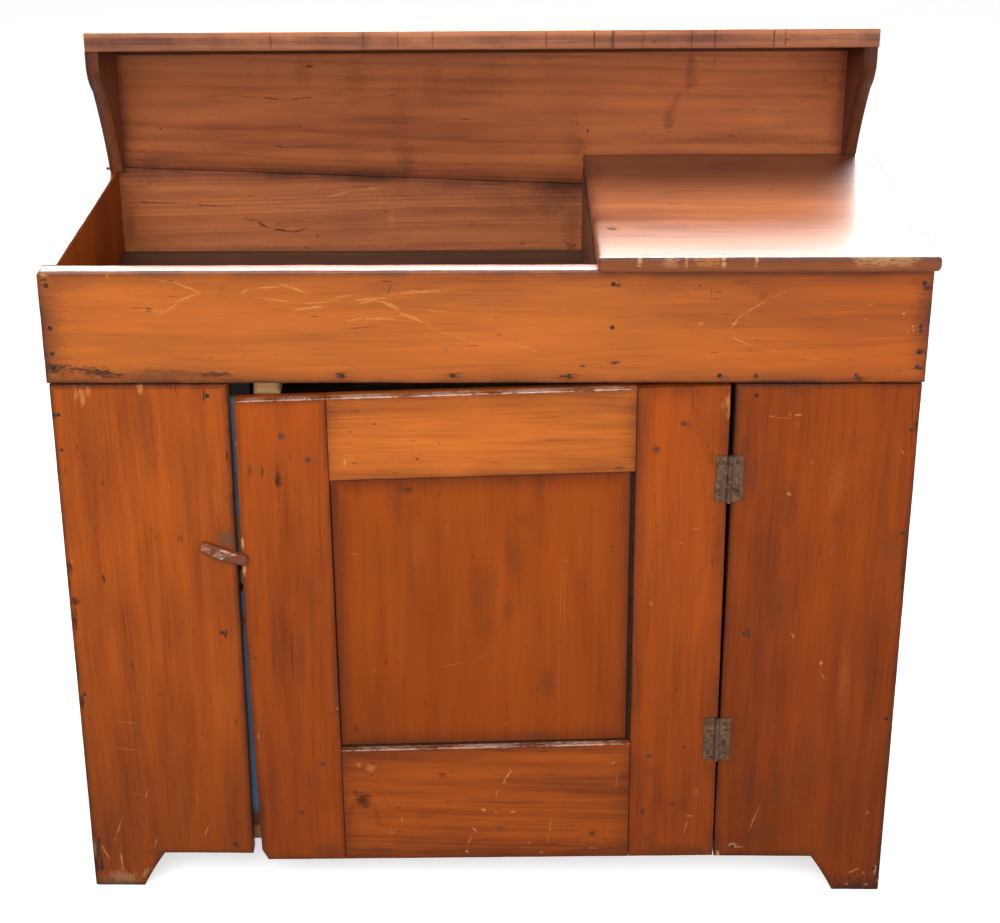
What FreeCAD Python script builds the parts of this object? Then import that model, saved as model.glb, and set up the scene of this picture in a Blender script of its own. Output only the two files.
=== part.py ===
import FreeCAD, Part
import os
from math import radians, tan

# Dry sink cabinet: a nailed pine case with a tray on top, a fixed work board over the
# tray's right end, a splash back with a narrow shelf, and one framed door below.
# All sizes are millimetres. The case is drawn with X = 0 at the middle of the front
# board, Y = 0 on its front face, +Y to the rear and Z = 0 on the floor. Every piece is
# moved once, when it is saved, so that the origin is under the middle of the whole.

# Case
rim_height = 882.0             # top of the tray's walls
case_inner_depth = 435.0       # from the back of the front board to the splash boards
side_thickness = 18.0
side_inset = 2.5               # sides and stiles stay inside the front board's ends
back_thickness = 20.0
back_foot_clearance = 56.0     # the lowest back board stops above the floor
board_shrinkage = 0.8          # open joint between neighbouring boards
worn_edge = 2.0                # rounding of handled arrises

# Front board and stiles
front_board_length = 1070.0
front_board_height = 145.0
front_board_thickness = 25.0
front_board_proud = 2.5        # front board stands forward of the stiles
front_board_corner = 7.0       # broken upper corners
front_rim_round = 4.0
stile_width_left = 219.5
stile_width_right = 225.0
stile_top_gap = 1.5            # open line between front board and stiles
foot_width = 66.0              # flat sole of a foot, seen from the front or the side
foot_height = 53.0             # height of the cut between the feet
foot_run = 31.0                # how far the cut's end curve runs along the board
foot_hollow = 3.0              # how far that curve is hollowed

# Tray
tray_depth = 120.5
tray_floor_thickness = 20.0
tray_floor_board_count = 3
tray_cleat_size = 25.0
tray_cleat_end_gap = 15.0
partition_thickness = 26.0

# Work board over the right end of the tray
work_board_left = 136.0        # X of its left edge and of the partition's left face
work_board_thickness = 19.0
work_board_front_overhang = 15.5
work_board_side_overhang = 5.0
work_board_corner = 6.0        # front corners, seen from above
work_board_edge = 5.5          # rounding of its edges

# Splash back, shelf and brackets
shelf_rise = 217.0             # from the rim to the shelf's top
shelf_thickness = 25.0
shelf_inset_left = 12.0        # from the front board's ends
shelf_inset_right = 23.0
shelf_front_depth = 130.0      # from the splash boards' face to the shelf's front edge
splash_shift = 1.0             # the shelf sits this much to the right of the splash board
splash_seam_rise = 2.5         # the two splash boards meet on a slanting line, from this far
splash_seam_drop = 40.0        # above the rim at the left end to this far below it at the right
bracket_thickness = 18.0
bracket_depth = 125.0
bracket_nose_height = 22.0     # upright part below the shelf
bracket_waist_depth = 92.0
bracket_waist_drop = 62.0
bracket_foot_depth = 16.0
bracket_nail_reach = 88.0      # nail through the shelf, forward of the splash boards
bracket_nail_drops = (24.0, 80.0)   # nails from behind, below the shelf

# Cupboard floor
floor_top = 87.5
floor_thickness = 25.0
floor_board_count = 3
floor_dado_depth = 6.0
back_board_count = 3

# Strips behind the stiles, stop block and lock keeper
strip_thickness = 16.0
strip_behind_stile = 33.0      # width of the lock strip hidden by the stile
strip_showing = 25.0           # width of the lock strip inside the opening
hinge_strip_width = 45.0
hinge_strip_inset = 2.0
keeper_notch_drop = 252.5      # from the door's top to the notch
keeper_notch_height = 41.0
keeper_height = 21.0
keeper_drop = 9.0              # space above the keeper in its notch
stop_block_width = 34.0
stop_block_depth = 22.0
stop_block_height = 28.0
stop_block_offset = 29.0       # from the opening's left edge

# Door, given square and then hung out of square by hang()
door_thickness = 22.0
door_hinge_gap = 6.0           # between door and stiles at the top
door_lock_gap = 6.5
door_top_gap = 3.5             # under the front board at the hinge side
door_foot_lift = 1.0           # its foot is this much above the cut between the feet
door_fall = 20.0               # the lock side has dropped by this much
door_lean = 5.0                # the foot has moved this far towards the hinge side
door_foot_rise = 9.0           # the bottom edge is cut this much higher at the lock side
door_lock_bow = 4.5            # outward bow of the lock edge
door_corner_clip_width = 8.0   # broken lower corner of the lock side
door_corner_clip_height = 16.0
door_stile_width = 113.5
door_top_rail_height = 111.0
door_bottom_rail_height = 178.5
door_back_gap = 0.5            # between the door's back and the strips
panel_recess = 3.5             # field of the panel behind the frame's face
groove_setback = 8.5           # groove for the panel's tongue, behind the frame's face
groove_width = 8.0
groove_depth = 9.0
panel_play = 1.0               # space around the tongue in its groove
panel_back_clearance = 0.3
panel_gap_lock = 0.8           # shrinkage between the panel's field and the frame
panel_gap_hinge = 6.0
panel_gap_top = 0.8
panel_gap_foot = 6.0
tenon_length = 75.0
tenon_shoulder = 12.0
peg_radius = 4.0
peg_play = 0.05
peg_near = 25.0                # pegs' distances from the frame joint
peg_far = 57.0
top_peg_drops = (81.0, 48.0)   # near and far peg, down from the top edge
bottom_peg_drops = (20.0, 95.0)   # near and far peg, down from the bottom rail's top

# Hinges
hinge_height = 63.0
hinge_leaf_width = 17.0
hinge_leaf_thickness = 1.8
hinge_corner = 1.5
hinge_barrel_radius = 3.0
hinge_pin_radius = 1.5
hinge_running_gap = 0.05       # radial, pin in knuckle
hinge_side_gap = 0.3           # between neighbouring knuckles, and leaf to barrel
hinge_knuckles = 5
hinge_pin_head = 1.0
hinge_axis_inset = 3.0         # from the right stile's edge into the opening
hinge_upper_drop = 123.5       # middle of the upper hinge below the door's top
hinge_lower_rise = 183.0       # middle of the lower hinge above the door's foot
hinge_stand_off = 0.3          # barrels in front of the wood
hinge_web_inset = 2.0          # webs start this far from the axis
hinge_screw_spread = 22.0      # screws above and below the middle of a leaf
hinge_screw_reach = 10.5       # from the hinge axis to the screws
screw_shank_radius = 1.6
screw_head_radius = 3.2
screw_head_depth = 1.6
screw_length = 17.0
screw_slot_width = 0.9
screw_slot_depth = 0.6
screw_play = 0.05

# Turn button
button_length = 61.0
button_height = 16.5
button_thickness = 12.0
button_round = 3.5
button_tilt = 19.5             # degrees, right end down
button_pivot_from_opening = 18.0
button_pivot_drop = 225.5      # from the door's top
button_pivot_offset = 3.0      # pivot is this far left of the button's middle
button_standoff = 0.4          # clear of the stile and of the door
button_screw_radius = 2.2
button_screw_play = 0.06
button_screw_head_radius = 4.6
button_screw_head_height = 2.0
button_screw_bite = 20.0

# Cut nails
nail_head_width = 6.0
nail_head_height = 4.4
nail_head_thickness = 1.4
nail_sink = 0.3                # heads lie just below the surface
nail_shank = 3.0
nail_length = 50.0
short_nail_length = 34.0

# Where the nails are
rim_nail_drop = 18.0           # ends of the front board
rim_nail_rises = (40.0, 21.0)
tray_nails_from_left = (363.0, 498.0, 640.0)
tray_nails_from_right = (248.5, 205.0, 84.0)
tray_nail_rise = 6.0           # above the underside of the tray's floor
left_stile_nail_drops = (40.0, 87.0)    # below the stile's top
left_stile_nail_rises = (300.0, 62.0)   # above the floor
right_stile_nail_drops = (60.0, 200.0)
right_stile_nail_rises = (268.0, 35.0)
strip_nail_drop = 15.0
strip_nail_rise = 392.0
strip_nail_inset = 25.0
sill_nail_rise = 6.0
cleat_nail_shift = 35.0        # from the middle of a tray board
work_nail_front = 119.5        # from the work board's front edge
work_nail_back = 80.0          # from the splash boards
work_rear_nail_insets = (64.0, 80.0)
shelf_nail_inset = 60.0
shelf_nail_count = 5
back_nail_inset = 40.0
splash_nail_rises = (30.0, 65.0)
tray_rear_nail_inset = 145.0
tray_rear_nail_count = 4
floor_nail_inset = 35.0

# Places worked out from the sizes above
board_left = -front_board_length / 2
board_right = front_board_length / 2
board_bottom = rim_height - front_board_height
inside_front = front_board_thickness
inside_back = inside_front + case_inner_depth
back_face = inside_back + back_thickness
stile_face = front_board_proud
side_outer = front_board_length / 2 - side_inset
side_inner = side_outer - side_thickness
side_middle = side_outer - side_thickness / 2
opening_left = -side_outer + stile_width_left
opening_right = side_outer - stile_width_right
tray_floor_top = rim_height - tray_depth
tray_floor_bottom = tray_floor_top - tray_floor_thickness
partition_right = work_board_left + partition_thickness
work_board_right = board_right + work_board_side_overhang
work_board_top = rim_height + work_board_thickness
shelf_left = board_left + shelf_inset_left
shelf_right = board_right - shelf_inset_right
splash_left = shelf_left - splash_shift
splash_right = shelf_right - splash_shift
shelf_top = rim_height + shelf_rise
shelf_bottom = shelf_top - shelf_thickness
shelf_front = inside_back - shelf_front_depth
floor_bottom = floor_top - floor_thickness
strip_back = inside_front + strip_thickness
strip_right = opening_left + strip_showing
door_right = opening_right - door_hinge_gap
door_left = opening_left + door_lock_gap
door_width = door_right - door_left
door_top = board_bottom - door_top_gap
door_bottom = foot_height + door_foot_lift
door_height = door_top - door_bottom
door_face = inside_front - door_back_gap - door_thickness
panel_face = door_face + panel_recess
groove_front = door_face + groove_setback
groove_back = groove_front + groove_width
hinge_x = opening_right - hinge_axis_inset
hinge_y = stile_face - hinge_stand_off - hinge_barrel_radius
hinge_heights = {"upper": door_top - hinge_upper_drop, "lower": door_bottom + hinge_lower_rise}
button_x = opening_left - button_pivot_from_opening
button_back = stile_face - button_standoff
button_pivot_height = door_top - button_pivot_drop
middle_x = (board_left + work_board_right) / 2
middle_y = (back_face - work_board_front_overhang) / 2

pieces = {}
V = FreeCAD.Vector
right = V(1, 0, 0)
left = V(-1, 0, 0)
rearward = V(0, 1, 0)
forward = V(0, -1, 0)
up = V(0, 0, 1)
down = V(0, 0, -1)


# Shapes
def box(x0, x1, y0, y1, z0, z1):
    return Part.makeBox(x1 - x0, y1 - y0, z1 - z0, V(x0, y0, z0))


def plate_from_edges(edges, direction):
    return Part.Face(Part.Wire(edges)).extrude(direction)


def front_plate(points, y0, y1):
    """Extrude an outline of (x, z) points from y0 to y1."""
    corners = [V(x, y0, z) for x, z in points]
    return Part.Face(Part.makePolygon(corners + corners[:1])).extrude(V(0, y1 - y0, 0))


def rounded(solid, radius, chosen):
    """Round the edges of a solid that the test picks."""
    edges = [edge for edge in solid.Edges if chosen(edge)]
    return solid.makeFillet(radius, edges)


def along(edge, direction):
    """True for a straight edge that runs along a direction."""
    run = edge.Vertexes[-1].Point - edge.Vertexes[0].Point
    return run.Length > 0 and abs(abs(run.normalize() * direction) - 1) < 1e-6


def on_plane(edge, axis, value):
    """True for an edge that lies in the plane where one coordinate has this value."""
    return all(abs(getattr(vertex.Point, axis) - value) < 1e-6 for vertex in edge.Vertexes)


def less(solid, tools):
    """One solid less a list of tools."""
    return solid.cut(tools).Solids[0]


# Nails
def nail_from(top, length):
    """A cut nail driven along +Y from the origin, with its head's face at this depth."""
    half_w = nail_head_width / 2
    half_h = nail_head_height / 2
    half_s = nail_shank / 2
    head = box(-half_w, half_w, top, nail_sink + nail_head_thickness, -half_h, half_h)
    shank = box(-half_s, half_s, nail_sink, length, -half_s, half_s)
    return head.fuse(shank).removeSplitter()


def aimed(shape, spot, direction):
    shape.Placement = FreeCAD.Placement(spot, FreeCAD.Rotation(rearward, direction))
    return shape


def drive_nails(group, spots, direction, through, length=nail_length):
    """Add nails whose heads are at the spots, and their holes in every board they pass."""
    for spot in spots:
        nail = aimed(nail_from(nail_sink, length), spot, direction)
        pieces.setdefault(group, []).append(nail.Solids[0])
        hole = aimed(nail_from(-1.0, length), spot, direction)
        for board in through:
            pieces[board] = [less(solid, [hole]) for solid in pieces[board]]


def evenly(first, last, count):
    """A number of values from first to last, both included."""
    step = (last - first) / (count - 1)
    return [first + step * index for index in range(count)]


def board_rows(start, end, count):
    """Split a width into boards with open joints between them."""
    pitch = (end - start + board_shrinkage) / count
    return [(start + pitch * row, start + pitch * (row + 1) - board_shrinkage) for row in range(count)]


# Case
def foot_cut_end(sole_end, toward_middle, rise_along):
    """The curve from a foot's sole up to the level cut, in (along, height) values."""
    start = (sole_end, 0.0)
    end = (sole_end + toward_middle * foot_run, foot_height)
    middle = ((start[0] + end[0]) / 2 - toward_middle * foot_hollow, foot_height / 2 + foot_hollow)
    corners = [rise_along(*point) for point in (start, middle, end)]
    return Part.Arc(*corners).toShape(), corners[0], corners[2]


def make_side(inner_x, outer_x):
    x0 = min(inner_x, outer_x)

    def at(y, z):
        return V(x0, y, z)

    front_arc, front_sole, front_top = foot_cut_end(inside_front + foot_width, 1, at)
    rear_arc, rear_sole, rear_top = foot_cut_end(inside_back - foot_width, -1, at)
    edges = [
        Part.makeLine(at(inside_front, 0), front_sole),
        front_arc,
        Part.makeLine(front_top, rear_top),
        rear_arc,
        Part.makeLine(rear_sole, at(inside_back, 0)),
        Part.makeLine(at(inside_back, 0), at(inside_back, rim_height)),
        Part.makeLine(at(inside_back, rim_height), at(inside_front, rim_height)),
        Part.makeLine(at(inside_front, rim_height), at(inside_front, 0)),
    ]
    board = plate_from_edges(edges, V(side_thickness, 0, 0))
    board = rounded(board, front_rim_round, lambda e: along(e, rearward) and on_plane(e, "z", rim_height))
    dado_end = inner_x + (outer_x - inner_x) / side_thickness * floor_dado_depth
    dado = box(min(inner_x, dado_end), max(inner_x, dado_end),
               inside_front, inside_back, floor_bottom, floor_top)
    return less(board, [dado])


def make_stile(outer_x, inner_x):
    """A front stile with its foot at the outer end."""
    toward = 1 if inner_x > outer_x else -1
    top = board_bottom - stile_top_gap

    def at(x, z):
        return V(x, stile_face, z)

    arc, sole_end, cut_start = foot_cut_end(outer_x + toward * foot_width, toward, at)
    edges = [
        Part.makeLine(at(outer_x, 0), sole_end),
        arc,
        Part.makeLine(cut_start, at(inner_x, foot_height)),
        Part.makeLine(at(inner_x, foot_height), at(inner_x, top)),
        Part.makeLine(at(inner_x, top), at(outer_x, top)),
        Part.makeLine(at(outer_x, top), at(outer_x, 0)),
    ]
    stile = plate_from_edges(edges, V(0, inside_front - stile_face, 0))
    return rounded(stile, worn_edge, lambda e: on_plane(e, "y", stile_face) and not on_plane(e, "z", top)
                   and not on_plane(e, "z", 0))


def make_front_board():
    board = box(board_left, board_right, 0, inside_front, board_bottom, rim_height)
    board = rounded(board, front_board_corner, lambda e: along(e, rearward) and on_plane(e, "z", rim_height))
    board = rounded(board, worn_edge, lambda e: on_plane(e, "y", 0)
                    and (on_plane(e, "z", board_bottom) or along(e, up)))
    return rounded(board, front_rim_round, lambda e: along(e, right) and on_plane(e, "z", rim_height))


def make_case():
    pieces["side_left"] = [make_side(-side_inner, -side_outer)]
    pieces["side_right"] = [make_side(side_inner, side_outer)]
    pieces["front_stile_left"] = [make_stile(-side_outer, opening_left)]
    pieces["front_stile_right"] = [make_stile(side_outer, opening_right)]
    pieces["sink_front_board"] = [make_front_board()]
    pieces["case_back_boards"] = [
        box(-side_outer, side_outer, inside_back, back_face, z0, z1)
        for z0, z1 in board_rows(back_foot_clearance, board_bottom, back_board_count)]
    pieces["case_floor_boards"] = [
        box(-side_inner - floor_dado_depth, side_inner + floor_dado_depth, y0, y1, floor_bottom, floor_top)
        for y0, y1 in board_rows(inside_front, inside_back, floor_board_count)]


# Tray
def make_tray():
    pieces["sink_floor_boards"] = [
        box(-side_inner, side_inner, y0, y1, tray_floor_bottom, tray_floor_top)
        for y0, y1 in board_rows(inside_front, inside_back, tray_floor_board_count)]
    cleat_front = strip_back
    cleat_back = inside_back - tray_cleat_end_gap
    cleat_bottom = tray_floor_bottom - tray_cleat_size
    pieces["sink_floor_cleats"] = [
        box(x0, x0 + tray_cleat_size, cleat_front, cleat_back, cleat_bottom, tray_floor_bottom)
        for x0 in (-side_inner, side_inner - tray_cleat_size)]
    pieces["sink_partition"] = [
        box(work_board_left, partition_right, inside_front, inside_back, tray_floor_top, rim_height)]


def make_work_board():
    board = box(work_board_left, work_board_right, -work_board_front_overhang, inside_back,
                rim_height, work_board_top)
    front = -work_board_front_overhang
    board = rounded(board, work_board_corner, lambda e: along(e, up) and on_plane(e, "y", front))
    board = rounded(board, work_board_edge, lambda e: on_plane(e, "z", work_board_top)
                    and not on_plane(e, "y", inside_back))
    pieces["work_surface"] = [rounded(
        board, work_board_edge, lambda e: on_plane(e, "z", rim_height) and along(e, right)
        and e.BoundBox.YMax < 0)]


# Splash back, shelf and brackets
def seam_height(x):
    share = (x - splash_left) / (splash_right - splash_left)
    return rim_height + splash_seam_rise - share * (splash_seam_rise + splash_seam_drop)


def make_splash():
    upper = [(splash_left, seam_height(splash_left)), (splash_right, seam_height(splash_right)),
             (splash_right, shelf_bottom), (splash_left, shelf_bottom)]
    lower = [(-side_outer, board_bottom), (side_outer, board_bottom),
             (side_outer, seam_height(side_outer)), (-side_outer, seam_height(-side_outer))]
    pieces["splash_board_upper"] = [front_plate(upper, inside_back, back_face)]
    pieces["splash_board_lower"] = [front_plate(lower, inside_back, back_face)]


def make_shelf():
    shelf = box(shelf_left, shelf_right, shelf_front, back_face, shelf_bottom, shelf_top)
    pieces["gallery_shelf"] = [rounded(shelf, worn_edge, lambda e: not on_plane(e, "y", back_face)
                                       and not (on_plane(e, "z", shelf_bottom) and along(e, rearward)))]


def make_bracket(x0, foot_z):
    """A scrolled bracket against the splash boards, from the shelf down to its foot."""
    def at(depth, z):
        return V(x0, inside_back - depth, z)

    nose = at(bracket_depth, shelf_bottom - bracket_nose_height)
    waist = at(bracket_waist_depth, shelf_bottom - bracket_waist_drop)
    shoulder_depth = bracket_depth - 0.3 * (bracket_depth - bracket_waist_depth)
    shoulder = at(shoulder_depth, shelf_bottom - (bracket_nose_height + bracket_waist_drop) / 2)
    toe = at(bracket_foot_depth, foot_z)
    hollow = at((bracket_waist_depth + bracket_foot_depth) / 2 - 5.0,
                (shelf_bottom - bracket_waist_drop + foot_z) / 2)
    edges = [
        Part.makeLine(at(0, shelf_bottom), at(bracket_depth, shelf_bottom)),
        Part.makeLine(at(bracket_depth, shelf_bottom), nose),
        Part.Arc(nose, shoulder, waist).toShape(),
        Part.Arc(waist, hollow, toe).toShape(),
        Part.makeLine(toe, at(0, foot_z)),
        Part.makeLine(at(0, foot_z), at(0, shelf_bottom)),
    ]
    return plate_from_edges(edges, V(bracket_thickness, 0, 0))


def make_brackets():
    pieces["shelf_bracket_left"] = [make_bracket(splash_left, rim_height)]
    pieces["shelf_bracket_right"] = [make_bracket(splash_right - bracket_thickness, work_board_top)]


# Strips, stop block and keeper behind the front
def make_strips():
    strip = box(opening_left - strip_behind_stile, strip_right, inside_front, strip_back,
                floor_top, tray_floor_bottom)
    notch_top = door_top - keeper_notch_drop
    notch = box(opening_left, strip_right, inside_front, strip_back,
                notch_top - keeper_notch_height, notch_top)
    pieces["door_stop_strip"] = [less(strip, [notch])]
    keeper_top = notch_top - keeper_drop
    pieces["lock_keeper"] = [box(opening_left, strip_right, inside_front, strip_back,
                                 keeper_top - keeper_height, keeper_top)]
    hinge_strip_left = opening_right + hinge_strip_inset
    pieces["hinge_side_strip"] = [box(hinge_strip_left, hinge_strip_left + hinge_strip_width,
                                      inside_front, strip_back, floor_top, tray_floor_bottom)]
    block_left = opening_left + stop_block_offset
    pieces["door_stop_block"] = [box(block_left, block_left + stop_block_width,
                                     inside_front, inside_front + stop_block_depth,
                                     tray_floor_bottom - stop_block_height, tray_floor_bottom)]


# Door
def hang(x, z):
    """Where a point of the square door lies once it has dropped and leaned."""
    lean = door_lean * (door_top - z) / door_height
    fall = door_fall * (door_right - x) / door_width
    return x + lean, z - fall


def hung_plate(x0, x1, z0, z1, y0, y1):
    corners = [hang(x0, z0), hang(x1, z0), hang(x1, z1), hang(x0, z1)]
    return front_plate(corners, y0, y1)


def door_foot(x):
    return door_bottom + door_foot_rise * (door_right - x) / door_width


def at_door(x, z):
    hung_x, hung_z = hang(x, z)
    return V(hung_x, door_face, hung_z)


def bottom_piece(x0, x1, z1):
    """A door member that reaches the bottom edge, which isn't cut square."""
    corners = [at_door(x0, door_foot(x0)), at_door(x1, door_foot(x1)), at_door(x1, z1), at_door(x0, z1)]
    return Part.Face(Part.makePolygon(corners + corners[:1])).extrude(V(0, door_thickness, 0))


def make_lock_stile(inner_x):
    clip_x = door_left + door_corner_clip_width
    clip_z = door_foot(door_left) + door_corner_clip_height
    lower = at_door(door_left, clip_z)
    upper = at_door(door_left, door_top)
    bowed = at_door(door_left, (clip_z + door_top) / 2) - V(door_lock_bow, 0, 0)
    edges = [
        Part.makeLine(at_door(clip_x, door_foot(clip_x)), at_door(inner_x, door_foot(inner_x))),
        Part.makeLine(at_door(inner_x, door_foot(inner_x)), at_door(inner_x, door_top)),
        Part.makeLine(at_door(inner_x, door_top), upper),
        Part.Arc(upper, bowed, lower).toShape(),
        Part.makeLine(lower, at_door(clip_x, door_foot(clip_x))),
    ]
    return plate_from_edges(edges, V(0, door_thickness, 0))


def make_pegs(joint_x, outward, frame):
    """Four pegs through the two tenons that enter one door stile."""
    panel_bottom = door_bottom + door_bottom_rail_height
    spots = [(peg_near, door_top - top_peg_drops[0]), (peg_far, door_top - top_peg_drops[1]),
             (peg_near, panel_bottom - bottom_peg_drops[0]), (peg_far, panel_bottom - bottom_peg_drops[1])]
    for reach, z in spots:
        place = at_door(joint_x + outward * reach, z)
        pieces["door_pegs"].append(Part.makeCylinder(peg_radius, door_thickness, place, rearward))
        hole = Part.makeCylinder(peg_radius + peg_play, door_thickness, place, rearward)
        for name in frame:
            pieces[name] = [less(pieces[name][0], [hole])]


def make_door():
    lock_joint = door_left + door_stile_width
    hinge_joint = door_right - door_stile_width
    panel_top = door_top - door_top_rail_height
    panel_bottom = door_bottom + door_bottom_rail_height
    groove = hung_plate(lock_joint - groove_depth, hinge_joint + groove_depth,
                        panel_bottom - groove_depth, panel_top + groove_depth, groove_front, groove_back)
    tongue_reach = groove_depth - panel_play
    panel_back = groove_back - panel_back_clearance
    tongue = hung_plate(lock_joint - tongue_reach, hinge_joint + tongue_reach,
                        panel_bottom - tongue_reach, panel_top + tongue_reach,
                        groove_front + panel_back_clearance, panel_back)
    field = hung_plate(lock_joint + panel_gap_lock, hinge_joint - panel_gap_hinge,
                       panel_bottom + panel_gap_foot, panel_top - panel_gap_top, panel_face, panel_back)

    reaches = ((lock_joint - tenon_length, lock_joint), (hinge_joint, hinge_joint + tenon_length))
    top_tenons = [hung_plate(x0, x1, panel_top + tenon_shoulder, door_top - tenon_shoulder,
                             groove_front, groove_back) for x0, x1 in reaches]
    bottom_tenons = [hung_plate(x0, x1, door_bottom + 2 * tenon_shoulder, panel_bottom - tenon_shoulder,
                                groove_front, groove_back) for x0, x1 in reaches]
    top_rail = hung_plate(lock_joint, hinge_joint, panel_top, door_top, door_face, door_face + door_thickness)
    bottom_rail = bottom_piece(lock_joint, hinge_joint, panel_bottom)
    lock_stile = make_lock_stile(lock_joint)
    hinge_stile = bottom_piece(hinge_joint, door_right, door_top)

    pieces["door_panel"] = [tongue.fuse(field).removeSplitter().Solids[0]]
    pieces["door_rail_top"] = [less(top_rail, [groove]).fuse(top_tenons).removeSplitter().Solids[0]]
    pieces["door_rail_bottom"] = [less(bottom_rail, [groove]).fuse(bottom_tenons).removeSplitter().Solids[0]]
    pieces["door_stile_lock"] = [less(lock_stile, [groove, top_tenons[0], bottom_tenons[0]])]
    pieces["door_stile_hinge"] = [less(hinge_stile, [groove, top_tenons[1], bottom_tenons[1]])]
    pieces["door_pegs"] = []
    rails = ["door_rail_top", "door_rail_bottom"]
    make_pegs(lock_joint, -1, rails + ["door_stile_lock"])
    make_pegs(hinge_joint, 1, rails + ["door_stile_hinge"])


# Hinges
def knuckle_rows(height):
    """Low and high Z of each knuckle of a hinge whose middle is at this height."""
    pitch = (hinge_height + hinge_side_gap) / hinge_knuckles
    low = height - hinge_height / 2
    return [(low + pitch * row, low + pitch * (row + 1) - hinge_side_gap) for row in range(hinge_knuckles)]


def make_leaf(height, toward, own_rows):
    """One hinge leaf: a plate on the wood, with its own knuckles on the hinge axis."""
    clear = hinge_barrel_radius + hinge_side_gap
    near, far = sorted((hinge_x + toward * clear, hinge_x + toward * hinge_leaf_width))
    leaf_y = stile_face - hinge_leaf_thickness
    low = height - hinge_height / 2
    plate = box(near, far, leaf_y, stile_face, low, low + hinge_height)
    outer = hinge_x + toward * hinge_leaf_width
    plate = rounded(plate, hinge_corner, lambda e: along(e, rearward) and on_plane(e, "x", outer))
    bore_radius = hinge_pin_radius + hinge_running_gap
    for z0, z1 in own_rows:
        web_near, web_far = sorted((hinge_x + toward * hinge_web_inset, hinge_x + toward * (clear + 1.0)))
        web = box(web_near, web_far, leaf_y, stile_face, z0, z1)
        barrel = Part.makeCylinder(hinge_barrel_radius, z1 - z0, V(hinge_x, hinge_y, z0), up)
        plate = plate.fuse([web, barrel])
    bore = Part.makeCylinder(bore_radius, hinge_height + 2, V(hinge_x, hinge_y, low - 1), up)
    return less(plate.removeSplitter(), [bore])


def screw_at(place, length, play):
    """A countersunk screw driven rearward, or its hole when play is added."""
    shank_radius = screw_shank_radius + play
    head = Part.makeCone(screw_head_radius + play, shank_radius, screw_head_depth, place, rearward)
    shank = Part.makeCylinder(shank_radius, length, place, rearward)
    return head.fuse(shank).removeSplitter()


def slotted(screw, place, head_radius, slot_width, slot_depth):
    slot = box(place.x - head_radius - 1, place.x + head_radius + 1, place.y - 1, place.y + slot_depth,
               place.z - slot_width / 2, place.z + slot_width / 2)
    return less(screw, [slot])


def make_hinges():
    pieces["hinge_pins"] = []
    leaf_face = stile_face - hinge_leaf_thickness
    for name, height in hinge_heights.items():
        rows = knuckle_rows(height)
        leaves = {"case": (1, rows[0::2], "front_stile_right"), "door": (-1, rows[1::2], "door_stile_hinge")}
        for side, (toward, own_rows, wood) in leaves.items():
            leaf = make_leaf(height, toward, own_rows)
            screws = pieces.setdefault(f"hinge_screws_{side}", [])
            for lift in (-hinge_screw_spread, hinge_screw_spread):
                place = V(hinge_x + toward * hinge_screw_reach, leaf_face, height + lift)
                screws.append(slotted(screw_at(place, screw_length, 0.0), place, screw_head_radius,
                                      screw_slot_width, screw_slot_depth))
                hole = screw_at(place, screw_length, screw_play)
                leaf = less(leaf, [hole])
                pieces[wood] = [less(pieces[wood][0], [hole])]
            pieces[f"hinge_{name}_{side}_leaf"] = [leaf]
        pin_low = V(hinge_x, hinge_y, height - hinge_height / 2 - hinge_pin_head)
        pin = Part.makeCylinder(hinge_pin_radius, hinge_height + 2 * hinge_pin_head, pin_low, up)
        pieces["hinge_pins"].append(pin)


# Turn button
def make_turn_button():
    pivot = V(button_x, button_back, button_pivot_height)
    x0 = button_x + button_pivot_offset - button_length / 2
    z0 = button_pivot_height - button_height / 2
    y0 = button_back - button_thickness
    button = box(x0, x0 + button_length, y0, button_back, z0, z0 + button_height)
    button = rounded(button, button_round, lambda e: along(e, rearward) or on_plane(e, "y", y0))
    bore = Part.makeCylinder(button_screw_radius + button_screw_play, button_thickness + 2,
                             pivot + V(0, 1, 0), forward)
    button = less(button, [bore])
    button.rotate(pivot, rearward, button_tilt)
    pieces["turn_button"] = [button]

    head_y = y0 - button_standoff
    shank_end = stile_face + button_screw_bite
    head_top = head_y - button_screw_head_height
    place = V(button_x, head_top, button_pivot_height)
    head = Part.makeCylinder(button_screw_head_radius, button_screw_head_height, place, rearward)
    head = rounded(head, 0.7 * button_screw_head_height,
                   lambda e: on_plane(e, "y", head_top) and len(e.Vertexes) == 1)
    neck = V(button_x, head_y, button_pivot_height)
    shank = Part.makeCylinder(button_screw_radius, shank_end - head_y, neck, rearward)
    screw = head.fuse(shank).removeSplitter()
    pieces["turn_button_screw"] = [slotted(screw, place, button_screw_head_radius, screw_slot_width,
                                           screw_slot_depth)]
    hole = Part.makeCylinder(button_screw_radius + screw_play, button_screw_bite,
                             V(button_x, stile_face, button_pivot_height), rearward)
    pieces["front_stile_left"] = [less(pieces["front_stile_left"][0], [hole])]


# Nails
def nail_front():
    middle = (rim_height + board_bottom) / 2
    end_heights = [rim_height - rim_nail_drop, middle] + [board_bottom + rise for rise in rim_nail_rises]
    tray_nails = [board_left + reach for reach in tray_nails_from_left]
    tray_nails += [board_right - reach for reach in tray_nails_from_right]
    partition_x = work_board_left + 0.75 * partition_thickness
    tray_nail_height = tray_floor_bottom + tray_nail_rise
    spots = {
        "side_left": [V(-side_middle, 0, z) for z in end_heights],
        "side_right": [V(side_middle, 0, z) for z in end_heights],
        "sink_floor_boards": [V(x, 0, tray_nail_height) for x in tray_nails],
        "sink_partition": [V(partition_x, 0, z) for z in end_heights[:2]],
    }
    for behind, places in spots.items():
        drive_nails("front_board_nails", places, rearward, ["sink_front_board", behind])


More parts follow.
